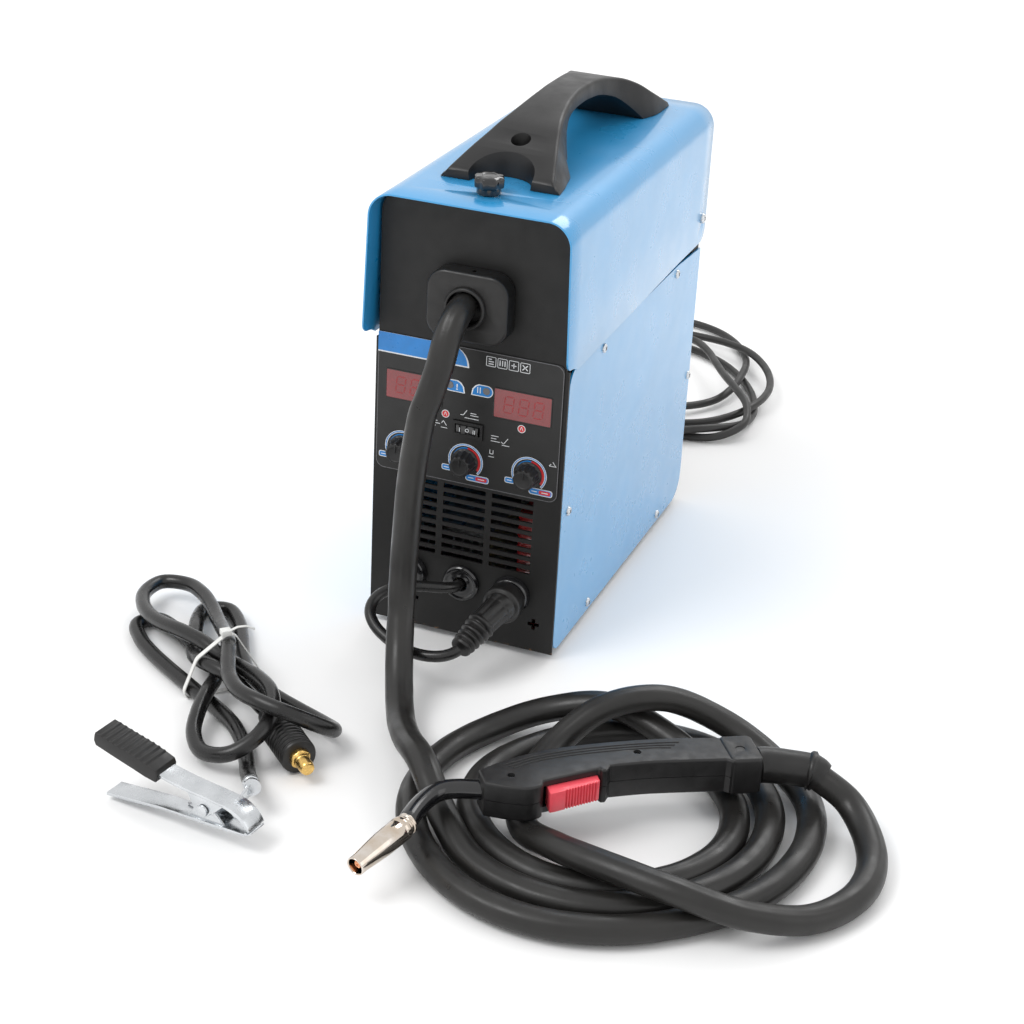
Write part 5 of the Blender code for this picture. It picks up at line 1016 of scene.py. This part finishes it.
def torch_handle():
    far = curve2([(4.0, -5.5), (-15.0, -14.0), (-40.0, -22.0), (-67.0, -26.0), (-97.0, -27.2),
        (-127.0, -26.6), (-155.0, -24.4), (-180.0, -20.6), (-205.0, -15.5)], 5.0)
    under = curve2([(-178.0, 9.5), (-150.0, 6.5), (-120.0, 4.0), (-92.0, 4.0)], 5.0)
    near = ([(-205.0, 14.0), (-181.0, 12.5)] + under + [(-88.0, 9.5), (-84.0, 9.5), (-83.0, 6.0), (-39.0,
        15.5), (-38.0, 20.0)] + curve2([(-36.0, 21.8), (-31.0, 23.4), (-25.0, 23.6), (-14.0, 20.2),
        (-4.0, 15.6), (3.0, 12.0)], 3.0))
    outline = far + near
    seam = band(offset(outline, -4.0), offset(outline, 0.55), torch_at, -0.22, 0.22)
    slot = slab([(-82.6, 1.6), (-82.6, 30.0), (-39.5, 40.0), (-39.5, 7.4)], torch_at, -8.6, 8.6)
    nose = tube([torch_at(14, -2.6), torch_at(-15.2, 2.2)], 7.8, 40)
    tail = tube([torch_at(-212, -0.7), torch_at(-190, -0.7)], 12.2, 48)
    screws = [drill(torch_at(u, v, 0), (0, 0, 1), 2.9, 10.6, 20, 24) for u, v in SCREW_SPOTS]
    piece("torch_shell", [slab(outline, torch_at, -14.3, 14.3)], MOULD, "casing", pre=(4.6, 5),
        bevel=0.35, cut=[[seam], [slot], [nose], [tail], screws], slot="black_moulding",
        instead=("torch_handle",), smooth=40)
    ridges = []
    for k in range(3):
        rail = [torch_at(u, v, 14.25) for u, v in curve2([(-150 + 4 * k, -18.2 + 3.2 * k), (-127, -20.2
            + 3.2 * k), (-97.0, -20.8 + 3.2 * k), (-67, -19.6 + 3.2 * k), (-40, -15.6 + 3.0 * k),
            (-16 - 3 * k, -8.6 + 2.6 * k)], 4.0)]
        ridges.append(tube(rail, 0.62, 10))
    piece("torch_ridges", ridges, MOULD, "casing", slot="black_moulding")
    collar = rounded(-205.5, -19.6, -180.6, 14.9, 4.5, 5)
    piece("torch_collar", [slab([(u, v + (0.14 * (u + 205)) * -0.5) for u, v in collar], torch_at, -14.9,
        14.9)], MOULD, "casing", pre=(2.2, 4), bevel=0.3,
        cut=[[tail], [drill(torch_at(-192.0, -2.0, 0), (0, 0, 1), 3.6, 13.1, 20, 32)]],
        slot="black_moulding")
    screw = [lathe(torch_at(u, v, 0), (0, 0, 1), [(0, 8), (2.7, 8), (2.7, 11.2), (2.2, 11.8), (0, 11.9)],
        24) for u, v in SCREW_SPOTS]
    piece("torch_screws", screw, ZINC, "casing", slot="zinc",
          cut=[[cross_cut(torch_at(u, v, 0), (0, 0, 1), 1.6, 11.0, 14) for u, v in SCREW_SPOTS]])


torch_handle()
grip = [(-81.8, 5.2), (-81.8, 13.2)]
u = -80.4
while u < -55.0:
    v = 14.4 + (u + 80.4) * 0.262
    grip += [(u, v - 0.5), (u + 0.7, v + 0.6), (u + 1.5, v + 0.8), (u + 1.8, v - 0.3)]
    u += 2.3
grip += curve2([(-54.4, 21.6), (-50.0, 22.8), (-45.6, 23.9)], 1.5) + [(-42.8, 24.2), (-42.4, 23.4),
    (-42.4, 11.8), (-60.0, 7.0)]
piece("trigger_button", [slab(grip, torch_at, -8.1, 8.1)], RED, "trigger", bevel=0.3, seg=2, angle=25,
    slot="red_plastic", instead=("torch_trigger",), smooth=25)

neck_line = smooth_line([torch_at(*p) for p in ((-14, 2.0, 0), (0, -0.3, 0), (12, -3.4, 0),
    (20, -5.0, -0.2), (28, -5.0, -0.4), (36, -2.0, -0.8), (44, 4.5, -1.4), (52, 13.5, -2.2),
    (58, 22.0, -3.0), (62.5, 28.5, -3.6))], 2.0)[0]
piece("neck_tube", [tube(neck_line, [7.2] * (len(neck_line) - 3) + [7.0, 6.8, 6.6], 40)], NECK, "casing",
    slot="gloss_black", instead=("swan_neck",), smooth=60)
NB, NT = torch_at(64.4, 30.8, -3.9), torch_at(104.0, 64.0, -9.5)
NA = (NT - NB).normalized()
NL = (NT - NB).length
piece("neck_insulator", [lathe(NB, NA, [(0, -6.2), (7.6, -6.2), (8.0, -5.6), (8.0, -4.0), (7.2, -3.6),
    (7.2, -2.4), (8.0, -2.0), (8.0, -0.2), (0, -0.2)], 48)], CHROME, "casing", bevel=0.15,
    slot="nozzle_chrome")
cup = [(5.8, 8), (5.8, NL - 0.6), (6.2, NL), (6.8, NL), (7.05, NL - 0.8), (7.1, NL - 6),
    (8.3, NL * 0.62), (8.95, NL * 0.46), (9.05, 14), (9.05, 6.0), (8.7, 5.4), (9.05, 4.8), (9.0, 1.2),
    (8.6, 0.1), (0, 0.1), (0, 8)]
piece("nozzle_cup", [lathe(NB, NA, cup, 72)], CHROME, "casing", bevel=0.12, slot="nozzle_chrome",
    instead=("gas_nozzle",))
piece("contact_tip", [lathe(NB, NA, [(0, 7), (4.4, 7), (4.4, NL - 21), (3.0, NL - 17), (3.0, NL - 3.4),
    (2.4, NL - 2.6), (0.7, NL - 2.4), (0.7, NL - 8), (0, NL - 8)], 40)], COPPER, "casing", bevel=0.1,
    slot="copper_wire")

hose_line = smooth_line(TORCH_HOSE_ROUTE, 4.0)[0]
boot_route = [torch_at(*p) for p in ((-191.5, -0.7, 0), (-206.0, -0.7, 0), (-210.0, -0.5, 0),
    (-216, 0.9, 0), (-226, 4.3, -0.4))] + [hose_line[-1], hose_line[-3]]
boot = piece("torch_tail_boot", [shaped_tube(boot_route, 0.8,
    [(0, 11.6), (14.0, 11.6), (14.6, 13.3), (24, 13.4), (52, 13.0), (53, 14.9), (55, 15.1), (56, 12.9),
    (62, 12.6)], 56)], RUBBER, "casing", bevel=0.2, angle=50, slot="rubber", instead=("torch_boot",))
lead("torch_hose_sleeve", "torch_hose", TORCH_HOSE_ROUTE, 20.4, SLEEVE,
     step=3.5, sides=40, shape=sleeve_shape)

# ---- polarity lead ------------------------------------------------------------------------
lead("polarity_lead", "polarity_cable", POLARITY_ROUTE, 9.4, LEAD,
     step=3.0, sides=28)

# ---- earth lead ---------------------------------------------------------------------------
PR, PA = Vector((-77.6, -374.1, 15.0)), Vector((0.738, -0.675, 0.0))
ep = [(0, 0), (8.0, 0), (8.8, 1.0), (9.4, 10), (10.2, 21), (12.6, 24.5)]
d = 25.5
while d < 62:
    ep += [(14.1, d), (14.1, d + 2.4), (13.1, d + 2.9), (13.1, d + 3.9)]
    d += 4.4
ep += [(14.0, 64.0), (13.2, 65.6), (6.0, 65.6), (0, 65.6)]
plug = piece("earth_plug_body", [lathe(PR, PA, ep, 64)], RUBBER, "casing", bevel=0.25, slot="rubber",
    instead=("earth_plug",))
hexa = [(8.0, 64.6), (8.0, 69.4), (6.9, 70.2), (6.2, 70.4), (6.2, 73.0), (5.8, 73.6), (5.8, 81.0),
    (5.0, 83.6), (3.4, 84.0), (0, 84.0), (0, 64.6)]
pin = piece("earth_plug_pin", [lathe(PR, PA, hexa, 48, 0, lambda t, r,
    d: 1 - 0.08 * (0.5 + 0.5 * math.cos(6 * t)) if r > 7.5 else 1.0)], BRASS, "casing", bevel=0.12,
    slot="zinc")


def tie_band():
    turns = [(-22.6, 7.0), (-4.3, 15.4), (2.3, 30.9), (6.3, 43.0), (23.9, 11.3), (-13.3, 29.3)]
    middle, across, along = Vector((-138.0, -338.0, 0.0)), Vector((0.675, 0.738, 0.0)), Vector((0.738,
        -0.675, 0.0))
    sides = 72
    rings = []
    for gap, floor_z, step in ((7.9, 0.6, -2.2), (9.0, 0.05, -2.2), (9.0, 0.05, 2.2), (7.9, 0.6, 2.2)):
        ring = []
        for s in range(sides):
            c, dd = math.cos(TAU * s / sides), math.sin(TAU * s / sides)
            b, z = max(turns, key=lambda turn: turn[0] * c + turn[1] * dd)
            ring.append(middle + across * (b + gap * c) + Vector((0, 0, max(floor_z, z + gap * dd)))
                + along * step)
        rings.append(ring)
    verts = [p for ring in rings for p in ring]
    faces = [(k * sides + s, k * sides + (s + 1) % sides, (k + 1) % 4 * sides + (s + 1) % sides,
        (k + 1) % 4 * sides + s) for k in range(4) for s in range(sides)]
    head = middle + across * 4.0 + Vector((0, 0, 52.6))
    lock = [slab([(-4, -3.4), (4, -3.4), (4, 3.4), (-4, 3.4)], lambda a, b, h: head + across * a
        + along * b + Vector((0, 0, h)), -1.0, 3.6)]
    tail = tube([head + across * 3 + Vector((0, 0, 1.6)), head + across * 10 + Vector((0, 0, 3.8)), head
        + across * 17 + Vector((0, 0, 3.2)), head + across * 24 - Vector((0, 0, 0.6))], 1.5, 10, 0,
        lambda i, q, dr, t: 1 - 0.55 * abs(dr.z))
    return piece("hank_tie", [(verts, faces, 0)] + lock + [tail], WHITE, "casing", bevel=0.3,
        slot="white_nylon", instead=("cable_tie",))


tie = tie_band()
lead("earth_lead", "earth_cable", EARTH_LEAD_ROUTE, 12.2, LEAD,
     step=3.5, sides=28)

# ---- earth clamp --------------------------------------------------------------------------
CC, CN, CO = Vector((0.989, -0.146, 0.0)), Vector((0.146, 0.989, 0.0)), Vector((-52.0, -514.0, 24.0))


def clamp_at(c, z, n=0.0):
    return CO + CC * c + CN * n + Vector((0, 0, z))


def clamp_arms():
    bore = tube([clamp_at(0, 0, -14), clamp_at(0, 0, 14)], 2.9, 32)
    upper = ([(-94, 27), (-93, 30)] + curve2([(-92, 29.7), (-66, 22.9), (-40, 16), (-26, 13.8),
        (-12, 12.5), (4, 11.7), (20, 10.5), (28, 8.4), (34, 5), (38, 0.6), (40.5, -3.5)], 3.0)
        + [(38.5, -4.5), (37.4, -2.6), (36.4, -3.2), (35.2, -0.6), (34.0, -1.2), (31.5, 3)]
        + curve2([(31, 3.4), (19, 8), (4, 9.4), (-12, 10), (-26, 11.2), (-41, 13.5)], 3.0))
    parts = [slab(upper, clamp_at, -9, 9)]
    lug = [(-14, 11), (-9, 0.5)] + arc(0, 0, 5.6, 200, 340, 14) + [(9, 0.5), (18, 9.5)]
    parts += [slab(lug, clamp_at, a, b) for a, b in ((-9, -7.4), (7.4, 9))]
    piece("clamp_top_arm", parts, ZINC, "clamp_jaw", bevel=0.3, cut=[[bore]], slot="zinc",
        instead=("clamp_upper_arm",))
    grip_path = [(-94.5, 22), (-96, 26), (-95.4, 30), (-94.5, 33)]
    top = curve2([(-94.5, 33), (-78, 29.2), (-60, 25.5), (-48, 22.2), (-40, 19.5)], 1.0)
    ribs = []
    for c, z in top:
        lift = 0.9 * max(0.0, math.sin(TAU * c / 5.0)) if -90 < c < -48 else 0.0
        ribs.append((c, z + lift))
    shell = grip_path + ribs + [(-38.5, 16), (-40, 9.5), (-50, 11.0), (-60, 13.5), (-78, 17.8)]
    piece("clamp_grip", [slab(shell, clamp_at, -11.5, 11.5)], RUBBER, "clamp_jaw", bevel=2.0, seg=4,
        angle=50, slot="rubber", smooth=45)
    lower = ([(-88, -17.5), (-88, -20)] + curve2([(-87, -19.9), (-64, -17.4), (-40, -14), (-26, -12.9),
        (-12, -12.5), (4, -11.8), (20, -10.5), (34, -9.0), (41.0, -6.0)], 3.0)
        + [(40, -4.9), (38.2, -6.6), (36.6, -5.2), (35.0, -7.2), (33, -7.2)]
        + curve2([(32, -7.3), (19, -8), (4, -9.2), (-12, -10), (-26, -10.8), (-40, -11.5)], 3.0))
    base = [slab(lower, clamp_at, -8.6, 8.6)]
    lug = [(-14, -11), (-9, -0.5)] + arc(0, 0, 5.6, 160, 20, 14) + [(9, -0.5), (18, -9.5)]
    base += [slab(lug, clamp_at, a, b) for a, b in ((-6.9, -5.3), (5.3, 6.9))]
    strip = [(5.6, -10), (12, -10), (39, -5), (39, 4), (32, 4), (14, -4), (5.6, -5)]
    base.append(slab(strip, lambda n, z, c: clamp_at(c, z, n), 9.6, 11.8))
    end = Vector(EARTH_LEAD_ROUTE[0])
    way = (Vector(EARTH_LEAD_ROUTE[1]) - end).normalized()
    base.append(lathe(end, way, [(0, -17.0), (6.3, -17.0), (6.3, -11.0), (5.2, -10.0), (5.2, -7.4),
        (6.3, -6.4), (6.4, -0.6), (0, -0.6)], 32))
    piece("clamp_bottom_arm", base, ZINC, "casing", bevel=0.3, cut=[[bore]], slot="zinc",
        instead=("clamp_lower_arm",))
    rivet = lathe(clamp_at(0, 0), CN, [(0, -11.6), (2.2, -11.6), (4.2, -10.9), (4.6, -9.6), (2.5, -9.5),
        (2.5, 9.5), (4.6, 9.6), (4.2, 10.9), (2.2, 11.6), (0, 11.6)], 32)
    piece("clamp_rivet", [rivet], ZINC, "casing", slot="zinc", instead=("clamp_pivot_pin",))
    coil = [clamp_at(-24, 9.6, -4.2), clamp_at(-10, 5.2, -4.3)]
    for i in range(100):
        q = 2.4 + TAU * i / 22
        coil.append(clamp_at(4.1 * math.cos(q), 4.1 * math.sin(q), -4.3 + 8.6 * i / 99))
    coil += [clamp_at(-9, -5.4, 4.3), clamp_at(-23, -9.6, 4.2)]
    piece("clamp_coil", [tube(coil, 0.85, 12)], GALV, "casing", slot="zinc", instead=("clamp_spring",),
        smooth=60)


clamp_arms()

# ---- mains lead, gland and plug -----------------------------------------------------------
mp_route = [(-98.0, 430.3, 12.0), (-97.8, 434.0, 12.3), (-97.0, 446.0, 14.0), (-96.5, 452.0, 15.4),
    (-95.5, 470.0, 16.5), (-95.2, 474.0, 16.8), (-95.0, 478.0, 17.0)]
body = shaped_tube(mp_route, 0.8, [(0, 5.0), (4, 6.0), (16, 7.6), (19, 10.5), (22.5, 14.2), (26, 15.2),
    (40, 15.8), (42, 15.4), (44.5, 14.0), (46, 13.4), (48, 12.6)], 56, ribs=(2, 17, 3.4, 0.16),
    flats=(22, 44, 2, 0.10))
plug_end = piece("mains_plug_body", [body], RUBBER, "casing", bevel=0.3, angle=50, slot="rubber",
    instead=("mains_plug",))
pins = [tube([Vector((-95.0 + s, 476.5, 17.0)), Vector((-94.9 + s, 486.0, 17.1)),
    Vector((-94.8 + s, 494.6, 17.2)), Vector((-94.8 + s, 495.8, 17.2))], [2.4, 2.4, 2.4, 1.5], 24)
    for s in (-9.5, 9.5)]
plug_pins = piece("mains_plug_pins", pins, BRASS, "casing", slot="zinc")
gland = lathe((-62, 174.35, 30), (0, 1, 0), [(4.4, -14), (7.2, -14), (7.2, 0), (9.6, 0), (9.7, 3.4),
    (9.2, 4.2), (7.8, 4.6), (7.5, 9.0), (6.6, 12.4), (4.4, 12.4)], 48, 0, lambda t, r,
    d: 1 - 0.07 * (0.5 + 0.5 * math.cos(6 * t)) if r > 9.3 else 1.0)
relief_route = [Vector((-62.0, 184.0, 30.3)),
    Vector(MAINS_LEAD_ROUTE[0])] + smooth_line(MAINS_LEAD_ROUTE, 4.0)[0][1:8]
relief = shaped_tube(relief_route, 0.6, [(0, 6.3), (4, 6.3), (30, 4.9), (34, 4.6), (60, 4.45)], 36,
    ribs=(3, 31, 4.0, 0.16))
piece("mains_gland_nut", [gland], MOULD, "casing", bevel=0.25, slot="black_moulding",
    instead=("mains_gland",))
piece("mains_strain_relief", [relief], RUBBER, "casing", slot="rubber")
lead("mains_lead", "mains_cable", MAINS_LEAD_ROUTE, 8.0, MAINS,
    step=3.5, sides=20)

# ---- rear switch --------------------------------------------------------------------------
rim = [(-10.9, 172.0), (-11.1, 177.2)] + curve2([(-10.7, 177.8), (-7.0, 178.3), (0.0, 177.0),
    (7.0, 178.3), (10.7, 177.8)], 0.8)
rim += [(11.1, 177.2), (10.9, 172.0), (7.0, 167.8), (-7.0, 167.8)]
piece("power_rocker_cap", [slab([(b, a + 146.5) for a, b in rim], along_x, 31.7, 48.3)], GLOSS,
    "power_rocker", bevel=0.35, slot="gloss_black", instead=("power_switch_rocker",))
ring = arc(40.0, 140.6, 2.2, 0, 345, 23)
piece("power_rocker_marks", [band(ring, offset(ring, 0.6), lambda a, b, h: (a, 178.0 + h, b), -0.6,
    0.25), slab(stroke(40.0, 150.2, 40.0, 154.6, 0.8), lambda a, b, h: (a, 178.0 + h, b), -0.6, 0.25)],
    INK_W, "power_rocker", slot="white_nylon")

# ---- inside -------------------------------------------------------------------------------
SY, SZ = 30.0, 272.0
reel = [(25.4, -31.0), (97.0, -31.0), (99.0, -30.4), (99.0, -29.0), (96.5, -28.4), (49.5, -28.0),
    (49.5, 22.0), (96.5, 22.4), (99.0, 23.0), (99.0, 24.4), (97.0, 25.0), (25.4, 25.0)]
holes = []
for k in range(6):
    a = TAU * k / 6
    holes.append(drill((-3, SY + 38 * math.cos(a), SZ + 38 * math.sin(a)), (1, 0, 0), 6.5, -40, 40, 24))
piece("reel", [lathe((-3, SY, SZ), (1, 0, 0), reel, 96)], MOULD, "spool", bevel=0.4, cut=[holes],
    slot="black_moulding", instead=("wire_spool",))
wire = [(50.0, -27.4)]
d = -27.0
while d < 21.0:
    r = 86.5 + 1.5 * math.sin(d * 0.9)
    wire += [(r, d), (r + 0.55, d + 0.45), (r, d + 0.9)]
    d += 1.0
wire += [(50.0, 21.4)]
piece("wire_winding", [lathe((-3, SY, SZ), (1, 0, 0), wire, 96)], COPPER, "spool", slot="copper_wire",
      instead=("welding_wire_coil",), smooth=50)
roll = [(0, -9), (3.6, -9), (4, -8.4), (6, -7), (14.4, -6), (15, -5.4), (15, -1.2), (14.2, 0), (15, 1.2),
    (15, 5.4), (14.4, 6), (4.2, 6.5), (4.2, 38), (0, 38)]
piece("drive_wheel", [lathe((0, -115, 288), (1, 0, 0), roll, 72, 0, flutes(36, 0.012, 14.6, 15.5))],
    ZINC, "drive", bevel=0.12, slot="zinc", instead=("drive_roll",))
knob = [(0, 313), (2.2, 313), (2.2, 331), (6.3, 331), (6.6, 331.6), (6.6, 340), (8.0, 342), (8.1, 361),
    (7.4, 363), (6.0, 364.2), (0, 364.5)]
piece("tension_grip", [lathe((7.6, -92, 0), (0, 0, 1), knob, 96, 0, flutes(12, 0.09, 7.6, 8.5))], MOULD,
    "tension", bevel=0.2, slot="black_moulding", instead=("tension_knob",))
turns = []
z = 9.0
while z < 115.5:
    grow = 1.3 * (len(turns) % 2)
    turns.append([(x, y, z) for x, y in offset(rounded(35.4, -149.6, 59.6, -112.4, 7.0, 6), 1.3 - grow)])
    z += 1.6
piece("choke_winding", [loft(turns)], WINDING, "casing", slot="red_winding", instead=("output_choke",),
    smooth=50)


FAN_Z = 85


def fan():
    hub = [(0, 152.6), (14.6, 152.6), (15.8, 153.4), (16.0, 168.0), (0, 168.0)]
    piece("fan_hub", [lathe((0, 0, FAN_Z), (0, 1, 0), hub, 48)], MOULD, "fan", bevel=0.4,
        slot="black_moulding")
    verts, faces = [], []
    rows, cols = 7, 5
    for k in range(7):
        start = len(verts)
        for i in range(rows):
            r = 15.4 + (41.2 - 15.4) * i / (rows - 1)
            for j in range(cols):
                t = j / (cols - 1)
                span = 0.62 - 0.10 * i / (rows - 1)
                a = TAU * k / 7 + 0.16 * i / (rows - 1) + span * (t - 0.1)
                y = 154.0 + (13.0 - 5.0 * i / (rows - 1)) * t + 1.2 * math.sin(math.pi * t)
                verts.append((r * math.cos(a), y, FAN_Z + r * math.sin(a)))
        for i in range(rows - 1):
            for j in range(cols - 1):
                a = start + i * cols + j
                faces.append((a, a + 1, a + cols + 1, a + cols))
    piece("fan_blades", [(verts, faces, 0)], MOULD, "fan", solid=1.3, bevel=0.25, slot="black_moulding",
        instead=("fan_rotor",))


fan()
grid = [band(arc(0, FAN_Z, r, 0, 352, 44), offset(arc(0, FAN_Z, r, 0, 352, 44), 1.0), along_y, 171.0,
    172.2) for r in (12, 20, 28, 36, 42.8)]
bars = []
for k in range(4):
    a = math.radians(45 + 90 * k)
    bars.append(tube([(11.5 * math.cos(a), 171.6, FAN_Z + 11.5 * math.sin(a)),
        (43 * math.cos(a), 171.6, FAN_Z + 43 * math.sin(a))], 0.8, 10))
piece("fan_guard", grid + bars, MOULD, "casing", slot="black_moulding")

# control board and wiring behind the spool wall
chips = [box((34.0, -70 + 26 * k, 186 + 13 * (k % 3)),
    (34.0 + 3.2 + 2 * (k % 2), -56 + 26 * k, 196 + 13 * (k % 3)), 0) for k in range(6)]
cans = [lathe((34.0, -58 + 40 * k, 232), (1, 0, 0), [(0, -0.5), (7.4, -0.5), (7.6, 0.6), (7.6, 22), (7.0,
    23), (0, 23)], 32) for k in range(4)]
piece("control_board", [box((32.4, -84, 176), (34.2, 92, 250))], BOARD, "casing", bevel=0.2,
    slot="satin_overlay")
piece("board_chips", chips, MOULD, "casing", bevel=0.3, slot="black_moulding")
piece("board_capacitors", cans, NECK, "casing", bevel=0.2, slot="gloss_black")
loom = []
for k in range(5):
    y0 = -66 + 11 * k
    loom.append(tube(smooth_line([(36, y0, 178), (42 + k, y0 - 4, 170), (50 + 2 * k, y0 - 30, 168 + k),
        (56 + k, -120 - 3 * k, 172 + 2 * k), (54, -146, 176 + 3 * k)], 4.0)[0], 1.5, 10, k % 2))
piece("wiring_loom", loom, [RED, LEAD], "casing", slot="rubber", smooth=60)
